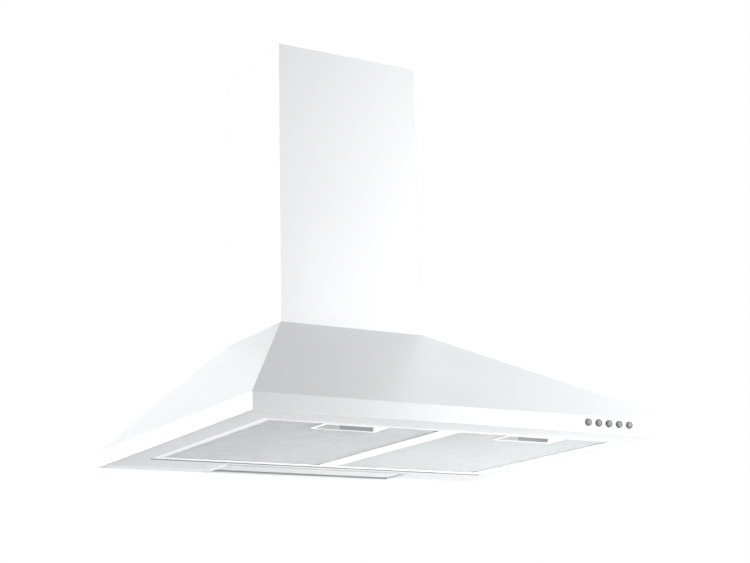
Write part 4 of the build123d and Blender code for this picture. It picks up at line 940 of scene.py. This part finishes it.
    def build(self) -> None:
        """Build the mesh and the lip, and dress the frame, the handle and the latch."""
        *below, cover = [self.layer(k) for k in range(len(self.levels))]
        layers = Surface.join(*below, self.core())
        mesh = self.node("filter_mesh")
        put(layers, self.node("expanded_mesh"), [MESH_ALUMINIUM, SHADED_CORE_ALUMINIUM], mesh, MESH_CREASE)
        put(cover, self.node("cover_mesh"), [MESH_ALUMINIUM], mesh, MESH_CREASE, instead=False)
        for stem in ("filter_frame", "filter_handle", "filter_latch"):
            soften(self.node(stem), self.edge)
        put(self.lip(), self.node("filter_lip"), [SHADED_LIP_ALUMINIUM], self.node("filter_frame"), instead=False)
        put(self.pad(), self.node("grip_pad"), [PAINTED_SHADE_GREY], self.node("filter_handle"), instead=False)


@dataclass
class ButtonRow:
    """Five push buttons on the fascia, each a bezel with a bright domed cap."""

    names: tuple[str, ...] = ("off", "low", "medium", "high", "lamp")
    cap_share: float = 0.66
    groove: float = 0.35 * MM
    edge: float = 0.7 * MM
    dome: float = 0.5 * MM
    cap_gap: float = 0.1 * MM
    flange_step: float = 1.0 * MM
    flange_seat: float = 3.7 * MM
    flange_depth: float = 1.6 * MM
    dome_rows: int = 9
    steps: int = 48

    def profile(self, node: str) -> tuple[Array, Array, Array]:
        """Profiles of the bezel and of the cap, as radius and depth behind the button's face.

        The bezel rounds its outer edge and falls into a groove; the cap is a shallow dome.

        Args:
            node: CAD node of the button.

        Returns:
            The bezel's profile, the cap's profile and the middle of the face.
        """
        low, high = span(node)
        length = high[1] - low[1]
        flange = (high[0] - low[0]) / 2
        radius = flange - self.flange_step
        cap = radius * self.cap_share
        centre = np.array([(low[0] + high[0]) / 2, low[1], (low[2] + high[2]) / 2])
        brow = self.dome / 2
        floor = self.dome + self.groove
        seat = self.flange_seat
        back = seat + self.flange_depth
        bezel = np.concatenate([
            [[0.0, floor], [cap, floor], [cap + self.groove, brow]],
            arc((radius - self.edge, brow + self.edge), self.edge, -90, 0),
            [[radius, seat], [flange, seat], [flange, back], [radius, back]],
            [[radius, length], [0.0, length]],
        ])
        reach = np.linspace(0, 1, self.dome_rows)
        wide = cap - self.cap_gap
        root = floor + self.groove / 2
        bow = np.stack([reach * wide, self.dome * reach ** 2], axis=-1)
        tip = np.concatenate([bow, [[wide, root], [0.0, root]]])
        return bezel, tip, centre

    def build(self) -> None:
        """Turn each button about its own axis."""
        into_wall = np.array([0.0, 1.0, 0.0])
        for name in self.names:
            node = f"button_{name}"
            bezel, tip, centre = self.profile(node)
            shape = Surface.join(
                turned(bezel, centre, into_wall, self.steps, tag=0),
                turned(tip, centre, into_wall, self.steps, tag=1),
            )
            put(shape, f"push_{name}", [BUTTON_BEZEL, BUTTON_CAP], node)


def islands(node: str) -> list[Array]:
    """Split a CAD node into its separate solids, by spreading the lowest label over each triangle's corners.

    Args:
        node: CAD node of several solids.

    Returns:
        The points of each solid.
    """
    mesh = frame["nodes"][node].data
    mesh.calc_loop_triangles()
    points = read(mesh.vertices, "co", float)
    corners = read(mesh.loop_triangles, "vertices", np.int32)
    _, same = np.unique(np.round(points / LOOSE_WELD).astype(np.int64), axis=0, return_inverse=True)
    corners = same.reshape(-1)[corners]
    labels = np.arange(corners.max() + 1)
    while True:
        spread = labels.copy()
        np.minimum.at(spread, corners.ravel(), np.repeat(labels[corners].min(axis=1), 3))
        if np.array_equal(spread, labels):
            break
        labels = spread
    owner = labels[same.reshape(-1)]
    return [points[owner == label] for label in np.unique(owner)]


@dataclass
class PanScrews:
    """Threaded pan-head screws with cross recesses, each on the axis of a CAD screw."""

    node: str
    axis: int
    recess_reach: float = 2.2 * MM
    recess_width: float = 0.8 * MM
    recess_depth: float = 1.1 * MM
    thread: float = 0.2 * MM
    pitch: float = 0.8 * MM
    side_share: float = 0.35
    rim_share: float = 0.95
    thread_rows: int = 8
    crown_rows: int = 16
    steps: int = 48

    def screw(self, points: Array) -> Surface:
        """One screw: a helical thread, a flat seat and a domed head that is sunk where its cross runs.

        Args:
            points: Points of the CAD screw.

        Returns:
            The screw's surface.
        """
        low, high = points.min(axis=0), points.max(axis=0)
        foot = (low + high) / 2
        level = points[:, self.axis]
        reach = np.linalg.norm(np.delete(points - foot, self.axis, axis=1), axis=1)
        wide = level[reach > self.rim_share * reach.max()]
        up = 1.0 if wide.mean() > foot[self.axis] else -1.0
        length = high[self.axis] - low[self.axis]
        foot[self.axis] = low[self.axis] if up > 0 else high[self.axis]
        seat = max(length - (wide.max() - wide.min()), length / 2)
        seat = min(seat, np.abs(wide - foot[self.axis]).min())
        shank = reach[np.abs(level - foot[self.axis]) < MERGE].max()
        turns = around(self.steps)
        rise = np.linspace(0, seat, max(round(self.thread_rows * seat / self.pitch), 2))[:, None]
        thread = worm(shank, self.thread, self.pitch, rise, turns)
        crown = quarter(self.crown_rows)
        side = seat + self.side_share * (length - seat)
        dome = reach.max() * np.cos(crown)
        narrow = np.minimum(np.abs(np.cos(turns)), np.abs(np.sin(turns))) * dome < self.recess_width / 2
        sunk = narrow & (dome < self.recess_reach)
        top = np.where(sunk, length - self.recess_depth, side + (length - side) * np.sin(crown))
        rows = [(0.0, 0.0), (thread, rise), (reach.max(), seat), (dome, top)]
        return swept(rows, self.steps, foot, up * np.eye(3)[self.axis])

    def build(self) -> None:
        """Build every screw of the group as one piece."""
        shape = Surface.join(*[self.screw(points) for points in islands(self.node)])
        put(shape, f"threaded_{self.node}", [SCREW_STEEL], self.node)


@dataclass
class BulbCap:
    """Screw cap of a bulb, with its rolled thread and its contact."""

    side: Side
    thread: float = 0.9 * MM
    pitch: float = 3.6 * MM
    contact: float = 0.38
    contact_step: float = 1.4 * MM
    steps: int = 64
    rows: int = 72

    def build(self) -> None:
        """Roll the thread from the mouth to the shoulder, and step in to the contact."""
        node = f"bulb_cap_{self.side.value}"
        low, high = span(node)
        out = -1.0 if self.side is Side.LEFT else 1.0
        foot = (low + high) / 2
        foot[0] = high[0] if out < 0 else low[0]
        length = high[0] - low[0]
        shoulder = length - self.contact_step
        outer = (high[2] - low[2]) / 2
        nub = outer * self.contact
        rise = np.linspace(0, shoulder, self.rows)[:, None]
        thread = worm(outer, self.thread, self.pitch, rise, around(self.steps))
        rows = [(0.0, 0.0), (thread, rise), (nub, shoulder), (nub, length), (0.0, length)]
        shape = swept(rows, self.steps, foot, out * np.eye(3)[0])
        put(shape, f"threaded_cap_{self.side.value}", [CAP_NICKEL], node)


@dataclass
class MotorCan:
    """Fan motor: two bells round a stack of laminations, with a bearing boss behind."""

    node: str = "motor"
    bell: float = 10.0 * MM
    stack: float = 14.0 * MM
    laminations: int = 14
    groove: float = 0.5 * MM
    bell_step: float = 1.2 * MM
    round_off: float = 5.0 * MM
    boss_radius: float = 13.0 * MM
    boss: float = 3.0 * MM
    bore: float = 4.1 * MM
    bore_depth: float = 20.1 * MM
    chamfer: float = 1.0 * MM
    crease: float = 30.0
    steps: int = 96

    def build(self) -> None:
        """Turn the can: bells at the ends and a saw-tooth of plate edges between them."""
        low, high = span(self.node)
        front = np.array([(low[0] + high[0]) / 2, low[1], (low[2] + high[2]) / 2])
        length = high[1] - low[1]
        outer = (high[0] - low[0]) / 2
        inner = outer - self.bell_step
        back = length - self.boss
        plates = np.linspace(self.bell, self.bell + self.stack, 2 * self.laminations + 1)
        teeth = outer - self.groove * (np.arange(len(plates)) % 2)
        profile = np.concatenate([
            [[0.0, self.bore_depth], [self.bore, self.bore_depth], [self.bore, 0.0]],
            arc((inner - self.bell_step, self.bell_step), self.bell_step, -90, 0),
            [[inner, self.bell]],
            np.stack([teeth, plates], axis=-1),
            [[inner, self.bell + self.stack]],
            arc((inner - self.round_off, back - self.round_off), self.round_off, 0, 90),
            [[self.boss_radius, back], [self.boss_radius, length - self.chamfer]],
            [[self.boss_radius - self.chamfer, length], [0.0, length]],
        ])
        shape = turned(profile, front, np.array([0.0, 1.0, 0.0]), self.steps)
        put(shape, "laminated_motor", [MOTOR_LACQUER], self.node, self.crease)


@dataclass
class CableGland:
    """Cable gland with a ribbed dome nut above the box and a six-sided nut inside it."""

    node: str = "cable_gland"
    wall: float = 2.0 * MM
    nut: float = 4.0 * MM
    bore: float = 4.5 * MM
    neck: float = 6.0 * MM
    flange: float = 3.0 * MM
    dome: float = 3.0 * MM
    ribs: int = 16
    rib: float = 0.45 * MM
    lip: float = 1.0 * MM
    dome_rows: int = 8
    steps: int = 192

    def build(self) -> None:
        """Carry a profile round the bore: nuts have a hexagon's radius, ribs add rib * cos(ribs * turn)."""
        low, high = span(self.node)
        foot = (low + high) / 2
        foot[2] = low[2]
        length = high[2] - low[2]
        outer = (high[1] - low[1]) / 2
        turns = around(self.steps)
        sixth = TURN / 6
        hexagon = outer / np.cos((turns + sixth / 2) % sixth - sixth / 2)
        ribbed = outer - self.rib + self.rib * np.cos(self.ribs * turns)
        seat = self.nut + self.wall
        collar = seat + self.flange
        curl = quarter(self.dome_rows)
        crown_r = self.bore + self.lip + (ribbed - self.bore - self.lip) * np.cos(curl)
        crown_h = length - self.dome + self.dome * np.sin(curl)
        rows = [
            (self.bore, 0.0), (hexagon, 0.0), (hexagon, self.nut), (self.neck, self.nut), (self.neck, seat),
            (hexagon, seat), (hexagon, collar), (ribbed, collar), (crown_r, crown_h), (self.bore, length),
        ]
        shape = swept(rows, self.steps, foot, np.eye(3)[2], wrap=True)
        put(shape, "ribbed_gland", [finish_of(self.node)], self.node)


@dataclass
class UndersidePanel:
    """Plate under the canopy in white painted darker as shade, with painted shade lining the lamp's collar
    and on its ends.
    """

    node: str = "underside_panel"
    edge: float = 0.4 * MM
    lens_play: float = 1.0 * MM
    collar_wall: float = 1.0 * MM
    reach: float = 0.1 * MM
    upright: float = 0.1
    endwise: float = 0.9

    def build(self) -> None:
        """Soften the plate, and paint shade on the upright faces round the lens and on the collar's outer
        ends.
        """
        mesh = soften(self.node, self.edge, SHADED_UNDERSIDE_ENAMEL).data
        middles = read(mesh.polygons, "center", float)
        lean = np.abs(read(mesh.polygons, "normal", float))
        low, high = span("lamp_lens")
        room = self.lens_play + self.reach
        inside = np.all((middles > low - room) & (middles < high + room), axis=1)
        room += self.collar_wall
        beside = np.all((middles > low - room) & (middles < high + room), axis=1)
        collar_shade = inside & (lean[:, 2] < self.upright)
        end_shade = beside & ~inside & (lean[:, 0] > self.endwise)
        numbers = np.zeros(len(middles), dtype=np.int32)
        # Painted shadow: darker grey on the upright faces round the lens, mid grey on the collar's outer
        # ends.
        for finish, where in ((SHADOW_GREY, collar_shade), (PAINTED_SHADE_GREY, end_shade)):
            numbers[where] = len(mesh.materials)
            mesh.materials.append(finish.material())
        mesh.polygons.foreach_set("material_index", numbers)


@dataclass
class RearShadowBead:
    """Dark bead along the rear edge of the filter opening: painted shadow for the gap line there."""

    node: str = "underside_panel"
    edge: float = -84.0 * MM
    radius: float = 0.45 * MM
    hang: float = 1.2 * MM
    rise: float = 0.1 * MM
    reach: float = 1.4 * MM

    def build(self) -> None:
        """Carry two half circles, joined by straight sides, along X past the frames' outer sides."""
        low, _ = span("filter_frame_left")
        _, high = span("filter_frame_right")
        middle = self.edge - self.radius
        foot = low[2] - self.hang + self.radius
        crown = low[2] + self.rise - self.radius
        section = np.concatenate([
            arc((middle, foot), self.radius, 180, 360),
            arc((middle, crown), self.radius, 0, 180),
        ])
        shape = carried(section, low[0] - self.reach, high[0] + self.reach)
        put(shape, "rear_shadow_bead", [SHADOW_GREY], self.node, instead=False)


# The studio


@dataclass
class SoftBox:
    """A soft square light."""

    name: str
    place: Point
    aim: Point
    size: tuple[float, float]
    power: float

    def build(self) -> None:
        """Hang the light at its place and point it at its aim."""
        lamp = bpy.data.lights.new(self.name, "AREA")
        lamp.shape = "RECTANGLE"
        lamp.size, lamp.size_y = self.size
        lamp.energy = self.power
        holder = bpy.data.objects.new(self.name, lamp)
        holder.location = self.place
        way = Vector(self.aim) - Vector(self.place)
        holder.rotation_mode = "QUATERNION"
        holder.rotation_quaternion = way.to_track_quat("-Z", "Y")
        holder.visible_camera = False
        bpy.context.scene.collection.objects.link(holder)


@dataclass
class Studio:
    """Camera at the photograph's angle, soft lights, a white surround and a pale floor."""

    camera_place: Point = (-978.114 * MM, -1973.109 * MM, -407.808 * MM)
    yaw: float = 29.4911
    pitch: float = 14.4289
    roll: float = -1.3728
    lens: float = 73.198
    sensor: float = 36.0
    clip_start: float = 0.05
    floor_level: float = -1.6
    floor_reach: float = 6.0
    floor_points: int = 5
    floor_shade: float = 0.30
    floor_glow: float = 0.50
    sky_colour: Colour = (0.93, 0.96, 1.0)
    sky_strength: float = 0.235

    def camera(self) -> None:
        """Aim the camera by yaw to the right of +Y, pitch above the horizon and roll about its view."""
        yaw, pitch, roll = (math.radians(a) for a in (self.yaw, self.pitch, self.roll))
        turns = ((-yaw, "Z"), (math.pi / 2 + pitch, "X"), (roll, "Z"))
        swing, raised, rolled = (Matrix.Rotation(angle, 4, axis) for angle, axis in turns)
        data = bpy.data.cameras.new("camera")
        data.sensor_width = self.sensor
        data.lens = self.lens
        data.clip_start = self.clip_start
        holder = bpy.data.objects.new("camera", data)
        holder.matrix_world = Matrix.Translation(self.camera_place) @ swing @ raised @ rolled
        bpy.context.scene.collection.objects.link(holder)
        bpy.context.scene.camera = holder

    @staticmethod
    def grey(level: float) -> tuple[float, ...]:
        """Give an opaque grey."""
        return level, level, level, OPAQUE

    def surround(self) -> None:
        """Show white to the camera and a dimmer sky to everything else."""
        world = bpy.data.worlds.new("surround")
        world.use_nodes = True
        tree = world.node_tree
        tree.nodes.clear()
        seen = tree.nodes.new("ShaderNodeLightPath").outputs["Is Camera Ray"]
        tone = (*self.sky_colour, OPAQUE)
        sky = add(tree, "ShaderNodeBackground", {"Color": tone, "Strength": self.sky_strength}).outputs[0]
        white = add(tree, "ShaderNodeBackground", {"Color": self.grey(1.0), "Strength": 1.0}).outputs[0]
        blend = add(tree, "ShaderNodeMixShader", {"Fac": seen, 1: sky, 2: white})
        add(tree, "ShaderNodeOutputWorld", {"Surface": blend.outputs[0]})
        bpy.context.scene.world = world
        bpy.context.scene.view_settings.view_transform = "Standard"

    def floor_material(self) -> Material:
        """Give the floor an even pale tone for the camera and its own bright one for all other rays."""
        material = FLOOR_PALE.material()
        tree = material.node_tree
        shader = tree.nodes["Principled BSDF"]
        seen = tree.nodes.new("ShaderNodeLightPath").outputs["Is Camera Ray"]
        own = shader.inputs["Base Color"].links[0].from_socket
        fill(shader, {
            "Base Color": mixed(tree, seen, own, self.grey(self.floor_shade)),
            "Emission Color": mixed(tree, seen, self.grey(0.0), self.grey(self.floor_glow)),
            "Emission Strength": 1.0,
        })
        return material

    def floor(self) -> None:
        """Lay a plain pale floor under the hood."""
        side = np.linspace(-self.floor_reach, self.floor_reach, self.floor_points)
        across, along = np.meshgrid(side, side, indexing="ij")
        points = np.stack([across, along, np.full_like(across, self.floor_level)], axis=-1)
        mesh = Surface.grid(points).mesh("studio_floor", CREASE)
        mesh.materials.append(self.floor_material())
        piece = bpy.data.objects.new("studio_floor", mesh)
        bpy.context.scene.collection.objects.link(piece)

    def build(self) -> None:
        """Set up the camera, the surround, the floor and the lights."""
        self.camera()
        self.surround()
        self.floor()
        for box in STUDIO_LIGHTS:
            box.build()


FLOOR_PALE = Finish(
    "pale_studio_floor", "white_enamel", (0.86, 0.86, 0.86), (0.84, 0.84, 0.84), 0.7, 0.8,
    scale=20.0, depth=0.0005, relief=0.05,
)
STUDIO_LIGHTS = (
    SoftBox("left_low", (-2.6, -0.1, -0.5), (0.0, -0.2, -0.1), (1.4, 0.6), 80.0),
    SoftBox("front_wide", (0.55, -1.3, 0.1), (0.0, -0.3, 0.1), (1.2, 1.0), 1.15),
    SoftBox("front_near", (0.4, -1.1, -0.05), (0.1, -0.5, -0.12), (0.4, 0.3), 1.13),
    SoftBox("right_wide", (1.3, -1.0, 0.1), (0.0, -0.3, 0.1), (1.0, 1.0), 6.3),
    SoftBox("right_mid", (0.8, -1.2, 0.2), (0.1, -0.3, 0.1), (0.8, 0.8), 8.96),
    SoftBox("right_high", (0.4, -0.9, 0.5), (0.1, -0.3, 0.1), (0.6, 0.6), 1.08),
    SoftBox("under_mid", (0.45, -0.25, -0.8), (0.1, -0.25, -0.13), (0.6, 0.6), 8.9),
    SoftBox("rear_high", (1.0, 1.5, 1.9), (0.0, -0.3, 0.0), (3.4, 1.4), 13.6),
    SoftBox("rear_over", (0.0, 1.5, 1.9), (0.0, -0.3, 0.0), (3.4, 1.4), 9.44),
    SoftBox("rear_mid", (1.2, 1.7, 0.6), (0.0, -0.3, 0.0), (3.4, 1.2), 18.0),
)


# Putting it together


SHEET_EDGE = 0.4 * MM
SHEET_NODES = (
    "lower_chimney", "upper_chimney", "back_panel", "lamp_tray", "lamp_lens", "chimney_bracket",
    "blower_hanger_left", "blower_hanger_right", "capacitor_clip", "motor_plate",
)
MOULDED_EDGE = 0.5 * MM
MOULDED_NODES = (
    "switch_housing", "terminal_box", "terminal_lid", "terminal_block", "scroll_front", "scroll_rear",
    "shaft_nut",
)


def dress_nodes() -> None:
    """Give every CAD node its finish, and soft edges where its real edges are rolled or moulded."""
    for part in frame["record"]["subparts"]:
        dress(part["node"])
    for width, nodes in ((SHEET_EDGE, SHEET_NODES), (MOULDED_EDGE, MOULDED_NODES)):
        for node in nodes:
            soften(node, width)


def write_sizes() -> None:
    """Update the view layer."""
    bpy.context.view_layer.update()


def main() -> None:
    """Dress the frame, build the pieces and set up the studio."""
    logging.basicConfig(level=logging.INFO, format="%(name)s %(message)s")
    dress_nodes()
    for side in Side:
        FilterCassette(side).build()
        BulbCap(side).build()
    ButtonRow().build()
    PanScrews("seam_screws", 2).build()
    PanScrews("blower_screws", 1).build()
    MotorCan().build()
    CableGland().build()
    UndersidePanel().build()
    RearShadowBead().build()
    Studio().build()
    write_sizes()


if __name__ == "__main__":
    main()
